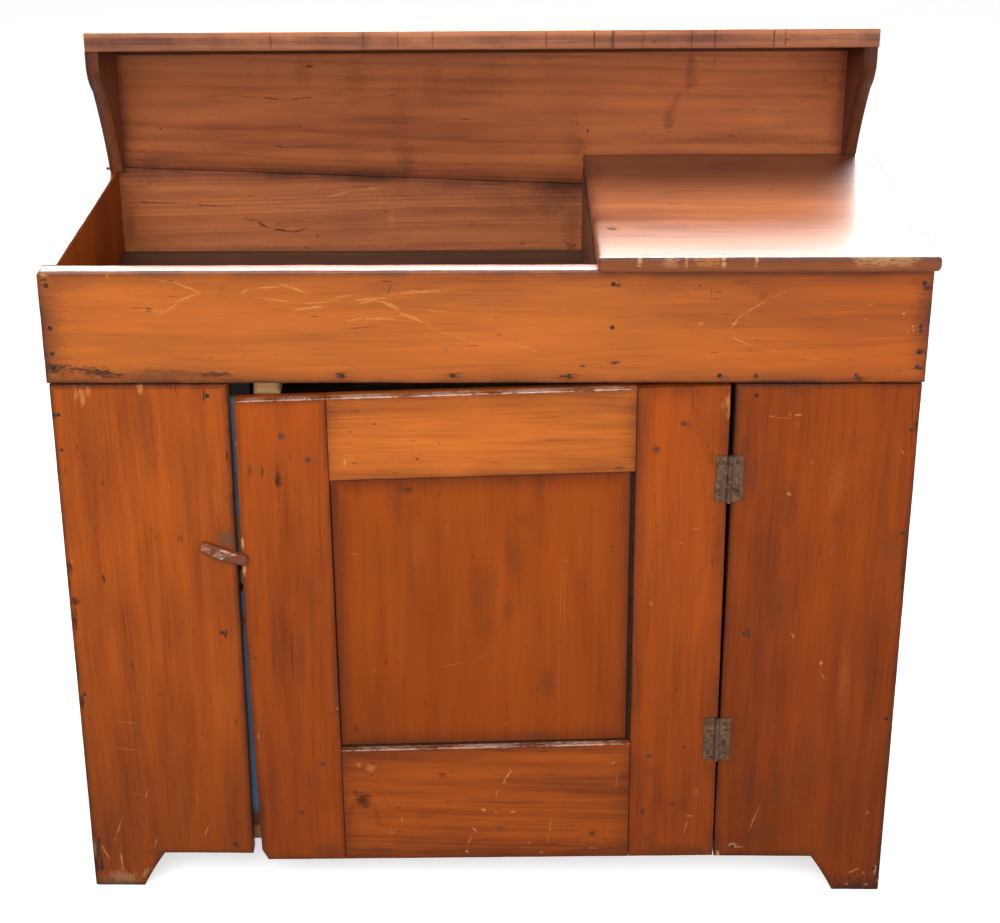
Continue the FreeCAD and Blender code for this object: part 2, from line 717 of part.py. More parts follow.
def nail_stiles():
    stile_top = board_bottom - stile_top_gap
    left_heights = [stile_top - drop for drop in left_stile_nail_drops] + list(left_stile_nail_rises)
    right_heights = [stile_top - drop for drop in right_stile_nail_drops] + list(right_stile_nail_rises)
    strip_heights = [stile_top - strip_nail_drop, strip_nail_rise]
    sill_height = floor_bottom + sill_nail_rise
    drive_nails("stile_nails", [V(-side_middle, stile_face, z) for z in left_heights], rearward,
                ["front_stile_left", "side_left"])
    drive_nails("stile_nails", [V(side_middle, stile_face, z) for z in right_heights], rearward,
                ["front_stile_right", "side_right"])
    for x, stile, strip in ((opening_left - strip_nail_inset, "front_stile_left", "door_stop_strip"),
                            (opening_right + strip_nail_inset, "front_stile_right", "hinge_side_strip")):
        drive_nails("stile_nails", [V(x, stile_face, z) for z in strip_heights], rearward, [stile, strip],
                    short_nail_length)
        drive_nails("stile_nails", [V(x, stile_face, sill_height)], rearward, [stile, "case_floor_boards"])


def nail_tray():
    rows = board_rows(inside_front, inside_back, tray_floor_board_count)
    middles = [(y0 + y1) / 2 for y0, y1 in rows]
    cleat_x = side_inner - tray_cleat_size / 2
    for x in (-cleat_x, cleat_x):
        drive_nails("sink_floor_nails", [V(x, y, tray_floor_top) for y in middles], down,
                    ["sink_floor_boards", "sink_floor_cleats"], short_nail_length)
    cleat_z = tray_floor_bottom - tray_cleat_size / 2
    places = [y + cleat_nail_shift for y in middles]
    cleat_face = side_inner - tray_cleat_size
    drive_nails("sink_floor_nails", [V(-cleat_face, y, cleat_z) for y in places], left,
                ["sink_floor_cleats", "side_left"], short_nail_length)
    drive_nails("sink_floor_nails", [V(cleat_face, y, cleat_z) for y in places], right,
                ["sink_floor_cleats", "side_right"], short_nail_length)
    partition_x = (work_board_left + partition_right) / 2
    drive_nails("sink_floor_nails", [V(partition_x, y, tray_floor_bottom) for y in middles], up,
                ["sink_floor_boards", "sink_partition"])
    block_x = opening_left + stop_block_offset + stop_block_width / 2
    drive_nails("sink_floor_nails", [V(block_x, inside_front + stop_block_depth / 2,
                                       tray_floor_bottom - stop_block_height)], up,
                ["door_stop_block", "sink_floor_boards"], short_nail_length)


def nail_work_board():
    rows = (work_nail_front - work_board_front_overhang, inside_back - work_nail_back)
    partition_x = work_board_left + 0.75 * partition_thickness
    drive_nails("work_surface_nails", [V(partition_x, y, work_board_top) for y in rows], down,
                ["work_surface", "sink_partition"])
    drive_nails("work_surface_nails", [V(side_middle, y, work_board_top) for y in rows], down,
                ["work_surface", "side_right"])


def nail_shelf():
    back_middle = (inside_back + back_face) / 2
    places = evenly(shelf_left + shelf_nail_inset, shelf_right - shelf_nail_inset, shelf_nail_count)
    drive_nails("shelf_nails", [V(x, back_middle, shelf_top) for x in places], down,
                ["gallery_shelf", "splash_board_upper"])
    for x0, bracket in ((splash_left, "shelf_bracket_left"),
                        (splash_right - bracket_thickness, "shelf_bracket_right")):
        x = x0 + bracket_thickness / 2
        drive_nails("shelf_nails", [V(x, inside_back - bracket_nail_reach, shelf_top)], down,
                    ["gallery_shelf", bracket])
        behind = [V(x, back_face, shelf_bottom - drop) for drop in bracket_nail_drops]
        drive_nails("shelf_nails", behind, forward, ["splash_board_upper", bracket])


def nail_back():
    rows = board_rows(back_foot_clearance, board_bottom, back_board_count)
    heights = [z for z0, z1 in rows for z in (z0 + back_nail_inset, z1 - back_nail_inset)]
    lower_splash_heights = [board_bottom + rise for rise in splash_nail_rises]
    upper_splash_height = rim_height + work_board_thickness / 2
    for x, side in ((-side_middle, "side_left"), (side_middle, "side_right")):
        drive_nails("back_nails", [V(x, back_face, z) for z in heights], forward, ["case_back_boards", side])
        drive_nails("back_nails", [V(x, back_face, z) for z in lower_splash_heights], forward,
                    ["splash_board_lower", side])
    tray_z = (tray_floor_bottom + tray_floor_top) / 2
    tray_places = evenly(board_left + tray_rear_nail_inset, board_right - tray_rear_nail_inset,
                         tray_rear_nail_count)
    near, far = work_rear_nail_insets
    work_board_places = evenly(work_board_left + near, work_board_right - far, 3)
    drive_nails("back_nails", [V(x, back_face, tray_z) for x in tray_places], forward,
                ["splash_board_lower", "sink_floor_boards"])
    drive_nails("back_nails", [V(x, back_face, upper_splash_height) for x in work_board_places], forward,
                ["splash_board_upper", "work_surface"])


def nail_floor():
    rows = board_rows(inside_front, inside_back, floor_board_count)
    places = [y for y0, y1 in rows for y in (y0 + floor_nail_inset, y1 - floor_nail_inset)]
    floor_z = (floor_bottom + floor_top) / 2
    drive_nails("floor_nails", [V(-side_outer, y, floor_z) for y in places], right,
                ["side_left", "case_floor_boards"])
    drive_nails("floor_nails", [V(side_outer, y, floor_z) for y in places], left,
                ["side_right", "case_floor_boards"])


def save(node, solids):
    shape = solids[0] if len(solids) == 1 else Part.makeCompound(solids)
    shape = shape.copy()
    shape.translate(V(-middle_x, -middle_y, 0))
    shape.exportStep(f"parts/{node}.step")


def main():
    make_case()
    make_tray()
    make_work_board()
    make_splash()
    make_shelf()
    make_brackets()
    make_strips()
    make_door()
    make_hinges()
    make_turn_button()
    nail_front()
    nail_stiles()
    nail_tray()
    nail_work_board()
    nail_shelf()
    nail_back()
    nail_floor()
    os.makedirs("parts", exist_ok=True)
    for node, solids in pieces.items():
        save(node, solids)
    print(len(pieces), "nodes,", sum(len(solids) for solids in pieces.values()), "solids")


main()
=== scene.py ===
from math import atan2, ceil, cos, degrees, pi, radians, sin

import bmesh
import bpy
from mathutils import Matrix, Vector, noise


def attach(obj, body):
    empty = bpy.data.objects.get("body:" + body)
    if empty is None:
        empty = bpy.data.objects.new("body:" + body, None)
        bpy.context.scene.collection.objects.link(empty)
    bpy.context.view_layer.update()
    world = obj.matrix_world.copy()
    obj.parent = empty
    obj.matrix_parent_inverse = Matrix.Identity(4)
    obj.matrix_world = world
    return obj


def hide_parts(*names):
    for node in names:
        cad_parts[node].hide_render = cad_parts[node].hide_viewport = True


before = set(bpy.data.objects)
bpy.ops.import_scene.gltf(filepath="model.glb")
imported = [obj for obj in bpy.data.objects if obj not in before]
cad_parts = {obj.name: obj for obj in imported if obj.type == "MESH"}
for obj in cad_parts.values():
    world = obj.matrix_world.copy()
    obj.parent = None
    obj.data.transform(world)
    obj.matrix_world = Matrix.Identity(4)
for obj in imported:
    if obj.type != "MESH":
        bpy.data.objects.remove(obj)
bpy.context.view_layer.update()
scene = bpy.context.scene
print("frame loaded:", len(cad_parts), "nodes")

# The case is laid out in millimetres: x from the middle of the front board, y from its face
# to the rear, z from the floor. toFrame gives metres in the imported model's frame.
caseShift = Vector((-2.5, -232.25, 0.0))


def toFrame(x, y, z):
    return (Vector((x, y, z)) + caseShift) / 1000


# Shader nodes
def addNode(tree, kind, inputs=None, **settings):
    node = tree.nodes.new("ShaderNode" + kind)
    for key, value in settings.items():
        setattr(node, key, value)
    for key, value in (inputs or {}).items():
        if isinstance(value, bpy.types.NodeSocket):
            tree.links.new(value, node.inputs[key])
        else:
            node.inputs[key].default_value = value
    return node


def calc(tree, operation, *values):
    return addNode(tree, "Math", dict(enumerate(values)), operation=operation).outputs[0]


def plus(tree, *values):
    return calc(tree, "ADD", *values)


def minus(tree, *values):
    return calc(tree, "SUBTRACT", *values)


def times(tree, *values):
    return calc(tree, "MULTIPLY", *values)


def vectorCalc(tree, operation, *values):
    return addNode(tree, "VectorMath", dict(enumerate(values)), operation=operation).outputs[0]


def blend(tree, amount, first, second, mode="MIX"):
    return addNode(tree, "Mix", {0: amount, 6: first, 7: second}, data_type="RGBA", blend_type=mode).outputs[2]


def ramp(tree, value, low, high, start=0.0, end=1.0, smooth=True):
    node = addNode(tree, "MapRange", {"Value": value, "From Min": low, "From Max": high,
                                      "To Min": start, "To Max": end},
                   interpolation_type="SMOOTHSTEP" if smooth else "LINEAR")
    return node.outputs[0]


def noiseAt(tree, vector, scale, detail=2.0, roughness=0.5):
    return addNode(tree, "TexNoise", {"Vector": vector, "Scale": scale, "Detail": detail,
                                      "Roughness": roughness}).outputs["Fac"]


def stretchedNoise(tree, vector, alongScale, acrossScale, detail=2.0, roughness=0.5):
    stretched = vectorCalc(tree, "MULTIPLY", vector, (alongScale, acrossScale, acrossScale))
    return noiseAt(tree, stretched, 1.0, detail, roughness)


def separate(tree, vector):
    return addNode(tree, "SeparateXYZ", {0: vector}).outputs


def combine(tree, *values):
    return addNode(tree, "CombineXYZ", dict(enumerate(values))).outputs[0]


def newGroup(name, inputs, outputs):
    group = bpy.data.node_groups.new(name, "ShaderNodeTree")
    for label, kind, value in inputs:
        socket = group.interface.new_socket(label, in_out="INPUT", socket_type="NodeSocket" + kind)
        if value is not None:
            socket.default_value = value
    for label, kind in outputs:
        group.interface.new_socket(label, in_out="OUTPUT", socket_type="NodeSocket" + kind)
    return group, group.nodes.new("NodeGroupInput").outputs, group.nodes.new("NodeGroupOutput").inputs


def grainGroup():
    # pine: rings round a pith line, stretched fibres, slow blotches and short dark flecks
    group, given, result = newGroup("pineGrain", [
        ("Along Grain", "Vector", None), ("Ring Width", "Float", 0.006), ("Pith Across", "Float", 0.0),
        ("Pith Depth", "Float", 0.06), ("Tilt", "Float", 0.02), ("Wobble", "Float", 0.008),
        ("Seed", "Float", 0.0), ("Knot Push", "Float", 0.0)],
        [(label, "Float") for label in ("Ring", "Fibre", "Blotch", "Streak", "Fleck", "Relief")])
    shift = combine(group, *(times(group, given["Seed"], factor) for factor in (3.71, 1.37, 0.73)))
    moved = vectorCalc(group, "ADD", given["Along Grain"], shift)
    slow = vectorCalc(group, "MULTIPLY", moved, (1.6, 7.0, 7.0))
    sway = addNode(group, "TexNoise", {"Vector": slow, "Scale": 1.0, "Detail": 2.0}).outputs["Color"]
    sway = vectorCalc(group, "SUBTRACT", sway, (0.5, 0.5, 0.5))
    swayParts, parts = separate(group, sway), separate(group, given["Along Grain"])
    across = minus(group, parts[1], given["Pith Across"])
    across = minus(group, across, times(group, parts[0], given["Tilt"]))
    across = plus(group, across, times(group, swayParts[0], given["Wobble"]))
    depth = plus(group, minus(group, parts[2], given["Pith Depth"]), times(group, swayParts[1], given["Wobble"]))
    reach = calc(group, "SQRT", plus(group, times(group, across, across), times(group, depth, depth)))
    years = calc(group, "DIVIDE", plus(group, reach, given["Knot Push"]), given["Ring Width"])
    uneven = addNode(group, "TexNoise", {"W": plus(group, years, given["Seed"]), "Scale": 0.45, "Detail": 1.0},
                     noise_dimensions="1D").outputs["Fac"]
    years = plus(group, years, times(group, uneven, 2.2))
    year = calc(group, "FRACT", years)
    late = times(group, ramp(group, year, 0.25, 0.88), ramp(group, year, 0.9, 1.0, 1.0, 0.0))
    yearTone = addNode(group, "TexNoise", {"W": calc(group, "FLOOR", years), "Scale": 3.3},
                       noise_dimensions="1D").outputs["Fac"]
    ring = times(group, late, ramp(group, yearTone, 0.3, 0.7, 0.45, 1.0))
    bent = vectorCalc(group, "ADD", moved, vectorCalc(group, "MULTIPLY", sway, (0.0, 0.012, 0.012)))
    fibre = stretchedNoise(group, bent, 9.0, 400.0, 3.0, 0.66)
    blotch = stretchedNoise(group, moved, 3.2, 10.0, 3.0, 0.55)
    streak = stretchedNoise(group, moved, 5.0, 58.0, 4.0, 0.6)
    fleck = ramp(group, stretchedNoise(group, moved, 46.0, 330.0, 1.0), 0.72, 0.80)
    relief = plus(group, times(group, ring, 0.35), times(group, fibre, 0.65))
    for value, socket in zip((ring, fibre, blotch, streak, fleck, relief), result):
        group.links.new(value, socket)
    return group


def spotGroup():
    # one ragged oval patch on a board's face, in mm: a knot, stain, chip or crack, or a painted highlight or painted
    # shade
    group, given, result = newGroup("woodSpot", [
        ("Place", "Vector", None), ("Centre", "Vector", None), ("Half Size", "Vector", None),
        ("Turn", "Float", 0.0), ("Edge", "Float", 0.0), ("Strength", "Float", 1.0), ("Below", "Float", 0.0)],
        [("Mask", "Float")])
    offset = vectorCalc(group, "SUBTRACT", given["Place"], given["Centre"])
    turned = addNode(group, "VectorRotate", {"Vector": offset, "Angle": given["Turn"]},
                     rotation_type="Z_AXIS").outputs[0]
    fitted = vectorCalc(group, "DIVIDE", turned, given["Half Size"])
    reach = addNode(group, "VectorMath", {0: fitted}, operation="LENGTH").outputs["Value"]
    mask = ramp(group, plus(group, reach, given["Edge"]), 0.25, 1.1, given["Strength"], 0.0)
    group.links.new(calc(group, "MAXIMUM", given["Below"], mask), result["Mask"])
    return group


def spotMasks(tree, spots, place, near, edge):
    # one mask for each kind of spot; near fades them out behind the board's face
    masks = {}
    for kind, marks in spots.items():
        mask = 0.0
        for a, b, halfA, halfB, strength, *turn in marks:
            mask = addNode(tree, "Group", {
                "Place": place, "Centre": (a, b, 0.0), "Half Size": (halfA, halfB, 1.0),
                "Turn": radians(-sum(turn)), "Edge": edge, "Strength": strength, "Below": mask},
                node_tree=woodSpot).outputs[0]
        masks[kind] = times(tree, mask, near)
    return masks


def wearGroup():
    # rubbed arrises and the grime that gathers beside joints
    group, given, result = newGroup("edgeWear", [
        ("Place", "Vector", None), ("Arris", "Float", 0.0), ("Near Edge", "Float", 0.0),
        ("Rub", "Float", 0.5), ("Grime", "Float", 0.5)], [("Rubbed", "Float"), ("Grimy", "Float")])
    patchy = noiseAt(group, given["Place"], 38.0, 4.0, 0.65)
    fine = noiseAt(group, given["Place"], 210.0, 3.0, 0.6)
    worn = plus(group, times(group, patchy, 0.65), times(group, fine, 0.35))
    limit = ramp(group, given["Rub"], 0.0, 1.0, 0.75, 0.3, smooth=False)
    rubbed = ramp(group, minus(group, worn, limit), 0.0, 0.1)
    cloud = noiseAt(group, given["Place"], 14.0, 4.0, 0.6)
    near = calc(group, "POWER", given["Near Edge"], 2.2)
    grimy = times(group, near, ramp(group, cloud, 0.3, 0.65))
    group.links.new(times(group, rubbed, ramp(group, given["Arris"], 0.1, 0.7)), result["Rubbed"])
    group.links.new(times(group, grimy, given["Grime"]), result["Grimy"])
    return group


pineGrain, woodSpot, edgeWear = grainGroup(), spotGroup(), wearGroup()
print("shader groups ready")

boardLayers = ("arris", "nearEdge", "boardSeed")
axisOrder = {"front": "xzy", "top": "xyz", "side": "yzx"}     # in-plane first, then depth
spotStyles = {   # colour, how strongly it covers
    "knot": ((0.055, 0.014, 0.006), 0.85),
    "dark": ((0.030, 0.012, 0.008), 0.9),
    # soot stains, and painted shade in corners and under the shelf
    "sootAndShade": ((0.060, 0.022, 0.012), 0.6),
    "pale": ((0.78, 0.32, 0.095), 0.6),
    "tan": ((0.60, 0.31, 0.13), 0.85),
    "grey": ((0.14, 0.085, 0.053), 0.65),
    # painted highlight along arrises and ridges that catch the light
    "paintedHighlight": ((0.86, 0.62, 0.50), 0.85),
}


def principled(name):
    material = bpy.data.materials.new(name)
    material.use_nodes = True
    tree = material.node_tree
    return material, tree, tree.nodes["Principled BSDF"]


pineLook = {
    "light": (0.60, 0.175, 0.045), "mid": (0.45, 0.115, 0.026), "dark": (0.23, 0.048, 0.010),
    "grain": "x", "face": "front", "ringWidth": 0.0065, "pith": (0.80, 0.30), "tilt": 0.02, "wobble": 0.016,
    "ring": 0.16, "fibre": 0.3, "blotch": 0.8, "fleck": 0.6, "rub": 0.2, "grime": 0.6,
    "rubbed": (0.50, 0.20, 0.075), "grimeColour": (0.050, 0.018, 0.009), "seed": 1.0,
    "roughness": 0.40, "coat": 0.05, "relief": 0.00012, "spots": {}, "shades": (), "dustBelow": None,
    "contrast": 1.0, "edgeShade": 0.3, "specular": 0.12, "polish": None, "coatRoughness": 0.22, "faceShades": (),
    "marksFade": (0.008, 0.014), "edgeFade": (0.003, 0.009),     # metres behind the board's face
    "knotReach": 3.2, "groove": (0.0, 1.5, 6.4, 7.4),     # times a knot's size; mm below the start of the groove's dust and painted shade
}


def pine(name, **changes):
    look = {**pineLook, **changes}
    material, tree, shader = principled(name)
    place = addNode(tree, "TexCoord").outputs["Object"]
    xyz = dict(zip("xyz", separate(tree, place)))
    axes = axisOrder[look["face"]]
    first, second, depth = axes
    across = second if look["grain"] == first else first
    if look["grain"] not in (first, second):
        across, depth = first, second
    along = combine(tree, xyz[look["grain"]], xyz[across], xyz[depth])
    arris, nearEdge, boardSeed = (addNode(tree, "Attribute", attribute_name=label).outputs["Fac"]
                                  for label in boardLayers)

    # place on the face in mm, distance from the face, and the marks
    edge = times(tree, minus(tree, stretchedNoise(tree, along, 140.0, 420.0), 0.5), 2.0)
    moves = [toFrame(0, 0, 0)["xyz".index(letter)] * 1000 for letter in axes]
    onFace = combine(tree, *(calc(tree, "MULTIPLY_ADD", xyz[letter], 1000.0, -move)
                             for letter, move in zip(axes[:2], moves)))
    away = calc(tree, "ABSOLUTE", minus(tree, xyz[axes[2]], (look["depth"] + moves[2]) / 1000))
    near = ramp(tree, away, *look["marksFade"], 1.0, 0.0)
    nearEdge = times(tree, nearEdge, ramp(tree, away, *look["edgeFade"], 1.0, 0.3))
    masks = spotMasks(tree, look["spots"], onFace, near, edge)
    reach, push = look["knotReach"], 0.02     # rings swerve round a knot, by up to this many metres
    knots = [(a, b, halfA * reach, halfB * reach, push, *turn)
             for a, b, halfA, halfB, strength, *turn in look["spots"].get("knot", ())]
    push = spotMasks(tree, {"knot": knots}, onFace, near, 0.0)["knot"] if knots else 0.0
    grain = addNode(tree, "Group", {
        "Along Grain": along, "Seed": plus(tree, boardSeed, look["seed"]), "Knot Push": push,
        "Ring Width": look["ringWidth"], "Pith Across": look["pith"][0], "Pith Depth": look["pith"][1],
        "Tilt": look["tilt"], "Wobble": look["wobble"]}, node_tree=pineGrain).outputs

    # colour: slow blotches, rings, fibres, flecks, then painted shade and light, wear, groove dust with painted
    # shade, and marks
    light, mid, dark, rubbed, grime = (look[key] + (1,) for key in ("light", "mid", "dark", "rubbed", "grimeColour"))
    patchy = ramp(tree, grain["Blotch"], 0.5 - 0.45 * look["blotch"], 0.95, 0.0, look["blotch"])
    tone = blend(tree, patchy, light, mid)
    tone = blend(tree, times(tree, grain["Ring"], look["ring"]), tone, dark)
    tone = blend(tree, ramp(tree, grain["Fibre"], 0.42, 0.8, 0.0, look["fibre"]), tone, dark)
    tone = blend(tree, times(tree, grain["Fleck"], look["fleck"]), tone, (0.035, 0.012, 0.006, 1))
    streak, blotch, fibre = (times(tree, minus(tree, grain[label], 0.5), share)
                             for label, share in (("Streak", 0.8), ("Blotch", 1.4), ("Fibre", 1.0)))
    lift = times(tree, plus(tree, plus(tree, streak, blotch), fibre), look["contrast"])
    lift = minus(tree, lift, times(tree, calc(tree, "POWER", nearEdge, 1.6), look["edgeShade"]))
    lift = calc(tree, "MINIMUM", calc(tree, "MAXIMUM", lift, -0.6), 0.5)
    lifted = combine(tree, *(calc(tree, "MULTIPLY_ADD", lift, share, 1.0) for share in (1.0, 1.1, 0.85)))
    tone = blend(tree, 1.0, tone, lifted, "MULTIPLY")
    # bands along one axis, each multiplied by a tint: mostly painted shade and painted light, such as faces darker
    # toward the bottom or under the shelf; the splash boards' backs get their bare tone this way
    shades = [(1.0, *shade) for shade in look["shades"]] + [(near, *shade) for shade in look["faceShades"]]
    for cover, letter, low, high, tint in shades:
        amount = times(tree, ramp(tree, xyz[letter], low, high), cover)
        tone = blend(tree, amount, tone, blend(tree, 1.0, tone, tint + (1,), "MULTIPLY"))
    wear = addNode(tree, "Group", {"Place": place, "Arris": arris, "Near Edge": nearEdge,
                                   "Rub": look["rub"], "Grime": look["grime"]}, node_tree=edgeWear).outputs
    tone = blend(tree, wear["Grimy"], tone, grime)
    tone = blend(tree, wear["Rubbed"], tone, rubbed)
    rough = plus(tree, look["roughness"], times(tree, grain["Fibre"], 0.16))
    rough = plus(tree, rough, times(tree, wear["Grimy"], 0.25))
    if look["dustBelow"] is not None:     # dark dust and painted shade in a groove, deeper than this
        groove = [toFrame(0, look["dustBelow"] + more, 0).y for more in look["groove"]]
        deep = times(tree, ramp(tree, xyz["y"], *groove[:2]), ramp(tree, xyz["y"], *groove[2:], 1.0, 0.0))
        tone = blend(tree, deep, tone, blend(tree, edge, (0.034, 0.013, 0.007, 1), (0.12, 0.070, 0.042, 1)))
        rough = plus(tree, rough, times(tree, deep, 0.4))
    for kind, mask in masks.items():
        colour, cover = spotStyles[kind]
        tone = blend(tree, times(tree, mask, cover), tone, colour + (1,))
        rough = plus(tree, rough, times(tree, mask, 0.2))

    tree.links.new(tone, shader.inputs["Base Color"])
    tree.links.new(rough, shader.inputs["Roughness"])
    for socket, key in (("Coat Weight", "coat"), ("Coat Roughness", "coatRoughness"),
                        ("Specular IOR Level", "specular")):
        shader.inputs[socket].default_value = look[key]
    if look["polish"]:     # rubbed to a gloss above this
        low, high, coat = look["polish"]
        tree.links.new(ramp(tree, xyz["z"], low, high, look["coat"], coat), shader.inputs["Coat Weight"])
    waves = stretchedNoise(tree, along, 9.0, 26.0)
    bump = addNode(tree, "Bump", {"Height": plus(tree, grain["Relief"], times(tree, waves, 2.5)),
                                  "Distance": look["relief"], "Strength": 0.8})
    tree.links.new(bump.outputs[0], shader.inputs["Normal"])
    return material


# Boards: an outline with worn arrises, extruded through a thickness
mergeDistance = 0.00001     # metres
cornerSteps = 6


def inwardOf(start, end):
    run = Vector((end[0] - start[0], end[1] - start[1])).normalized()
    return Vector((-run.y, run.x))


def cornerData(corners):
    # for each corner: its place, the way it moves when the outline shrinks, its radius, rub factor, edge normals
    data = []
    for i, corner in enumerate(corners):
        before = inwardOf(corners[i - 1], corner)
        after = inwardOf(corner, corners[(i + 1) % len(corners)])
        miter = (before + after) / max(0.25, 1 + before.dot(after))
        radius, rub = tuple(corner[2:]) + (0.0, 1.0)[len(corner) - 2:]
        data.append((Vector(corner[:2]), miter, radius, rub, before, after))
    return data


def samplesOf(data, step):
    samples = []     # (corner, share along the edge or round the corner, is a rounded corner)
    for i, (place, _, radius, *_) in enumerate(data):
        following = data[(i + 1) % len(data)]
        if radius > 0:
            samples += [(i, k / cornerSteps, True) for k in range(cornerSteps + 1)]
        run = (following[0] - place).length - radius - following[2]
        pieces = max(1, ceil(run / step))
        samples += [(i, k / pieces, False) for k in range(1 if radius > 0 else 0, pieces)]
    return samples


def samplePlace(data, sample, inset):
    i, share, rounded = sample
    place, miter, radius, _, before, after = data[i]
    if rounded:
        if inset >= radius:
            return place + miter * inset
        way = (before.lerp(after, share)).normalized()
        return place + miter * radius - way * (radius - inset)
    ends = []
    for corner in (data[i], data[(i + 1) % len(data)]):
        if inset < corner[2]:
            ends.append(corner[0] + corner[1] * corner[2] - after * (corner[2] - inset))
        else:
            ends.append(corner[0] + corner[1] * inset)
    return ends[0].lerp(ends[1], share)


def place3d(facing, a, b, depth):
    return toFrame(*{"front": (a, depth, b), "top": (a, b, depth), "side": (depth, a, b)}[facing])


arrisTurns = ((0, 0.3), (30, 0.85), (60, 1.0), (90, 0.6))     # degrees round an arris, and how worn it is there


def addBoard(mesh, corners, facing, span, seed, arris=2.0, wave=0.5, nick=2.0, step=6.0, deepest=30.0):
    data = cornerData(corners)
    thickness = abs(span[1] - span[0])
    way = 1 if span[1] > span[0] else -1
    arrisLayer, nearLayer, seedLayer = (mesh.verts.layers.float[label] for label in boardLayers)
    rows = []
    for sample in samplesOf(data, step):
        at = samplePlace(data, sample, 0.0)
        rub = data[sample[0]][3]
        low, mid, high = (noise.noise(Vector((at.x * size, at.y * size, seed * 7.7)))
                          for size in (0.011, 0.047, 0.21))
        worn = wave * (0.5 + 0.5 * low) + 0.3 * wave * (0.5 + 0.5 * mid)
        faceArris = []
        for side in (3.1, 8.3):
            chip = noise.noise(Vector((at.x * 0.13, at.y * 0.13, seed + side)))
            rough = noise.noise(Vector((at.x * 0.03, at.y * 0.03, seed - side)))
            size = arris * (0.85 + 0.3 * rough + 0.15 * high) + nick * max(0.0, chip - 0.42)
            faceArris.append(min(size, 0.45 * thickness))
        front, back = faceArris
        flat, limit = min(11.0, 0.6 * deepest) + worn, 0.97 * deepest
        arc = [(1 - sin(radians(turn)), 1 - cos(radians(turn)), edge * rub) for turn, edge in arrisTurns]
        row = [(deepest, 0.0, 0.0, 0.0), (flat, 0.0, 0.0, 0.55), (min(worn + front + 0.8, limit), 0.0, 0.0, 0.85)]
        row += [(worn + front * inset, front * depth, edge, 1.0) for inset, depth, edge in arc]
        row += [(worn + back * inset, thickness - back * depth, edge, 1.0) for inset, depth, edge in reversed(arc)]
        row += [(min(worn + back + 0.8, limit), thickness, 0.0, 0.85), (flat, thickness, 0.0, 0.55),
                (deepest, thickness, 0.0, 0.0)]     # inset, depth, rub, nearness to the edge
        verts = []
        for inset, depth, edge, near in row:
            spot = samplePlace(data, sample, inset)
            vert = mesh.verts.new(place3d(facing, spot.x, spot.y, span[0] + way * depth))
            vert[arrisLayer], vert[nearLayer], vert[seedLayer] = edge, near, seed
            verts.append(vert)
        rows.append(verts)
    for i, row in enumerate(rows):
        following = rows[(i + 1) % len(rows)]
        for k in range(len(row) - 1):
            mesh.faces.new((row[k], row[k + 1], following[k + 1], following[k]))
    mesh.faces.new([row[0] for row in rows])
    mesh.faces.new([row[-1] for row in reversed(rows)])


def newMesh():
    mesh = bmesh.new()
    for label in boardLayers:
        mesh.verts.layers.float.new(label)
    return mesh


def meshObject(name, mesh, smoothTo=None):
    data = bpy.data.meshes.new(name)
    mesh.to_mesh(data)
    mesh.free()
    if smoothTo:
        data.shade_smooth()
        data.set_sharp_from_angle(angle=radians(smoothTo))
    piece = bpy.data.objects.new(name, data)
    scene.collection.objects.link(piece)
    return piece


def joinRings(mesh, rings):
    for ring, following in zip(rings, rings[1:]):
        for k in range(len(ring)):
            after = (k + 1) % len(ring)
            mesh.faces.new((ring[k], ring[after], following[after], following[k]))


def finishPiece(name, mesh, material, body, nodes, smoothTo=40.0):
    bmesh.ops.remove_doubles(mesh, verts=mesh.verts, dist=mergeDistance)
    bmesh.ops.recalc_face_normals(mesh, faces=mesh.faces)
    piece = meshObject(name, mesh, smoothTo)
    piece.data.materials.append(material)
    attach(piece, body)
    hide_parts(*nodes)


def boardPiece(name, facing, boards, material, slot, body="case", **shape):
    # one piece from its boards: the outline, the span from face to back, and the seed of each
    mesh = newMesh()
    for corners, span, seed in boards:
        addBoard(mesh, corners, facing, span, seed, **shape)
    finishPiece(name, mesh, material, body, [name])


def rectangle(a0, a1, b0, b1, radius=0.0):
    return [(a0, b0, radius), (a1, b0, radius), (a1, b1, radius), (a0, b1, radius)]


def arcPoints(start, middle, end, count):
    # points of a curve through three places, both ends included
    return [tuple(start[k] * (1 - t) * (1 - 2 * t) + middle[k] * 4 * t * (1 - t) + end[k] * t * (2 * t - 1)
                  for k in (0, 1)) for t in (j / count for j in range(count + 1))]


# Case
case = {"boardLeft": -535.0, "boardRight": 535.0, "rim": 882.0, "boardBottom": 737.0, "side": 532.5,
        "sideThickness": 18.0, "front": 25.0, "back": 460.0, "rear": 480.0, "stileFace": 2.5,
        "stileTop": 735.5, "openingLeft": -313.0, "openingRight": 307.5, "footTop": 53.0, "footWidth": 66.0,
        "footRun": 31.0, "footHollow": 0.9, "trayFloor": 761.5, "trayUnder": 741.5, "floorTop": 87.5,
        "floorUnder": 62.5, "backLow": 56.0, "boardGap": 0.15, "surfaceTop": 901.0, "surfaceLeft": 136.0,
        "splashLeft": -524.0, "splashRight": 511.0, "shelfUnder": 1074.0}
inner = case["side"] - case["sideThickness"]


def footCurve(start, way):
    top = case["footTop"]
    end = (start + way * case["footRun"], top)
    middle = ((start + end[0]) / 2 - way * case["footHollow"], top / 2 + case["footHollow"])
    return arcPoints((start, 0.0), middle, end, 6)


def rowsBetween(start, end, count):
    pitch = (end - start + case["boardGap"]) / count
    return [(start + pitch * k, start + pitch * (k + 1) - case["boardGap"]) for k in range(count)]


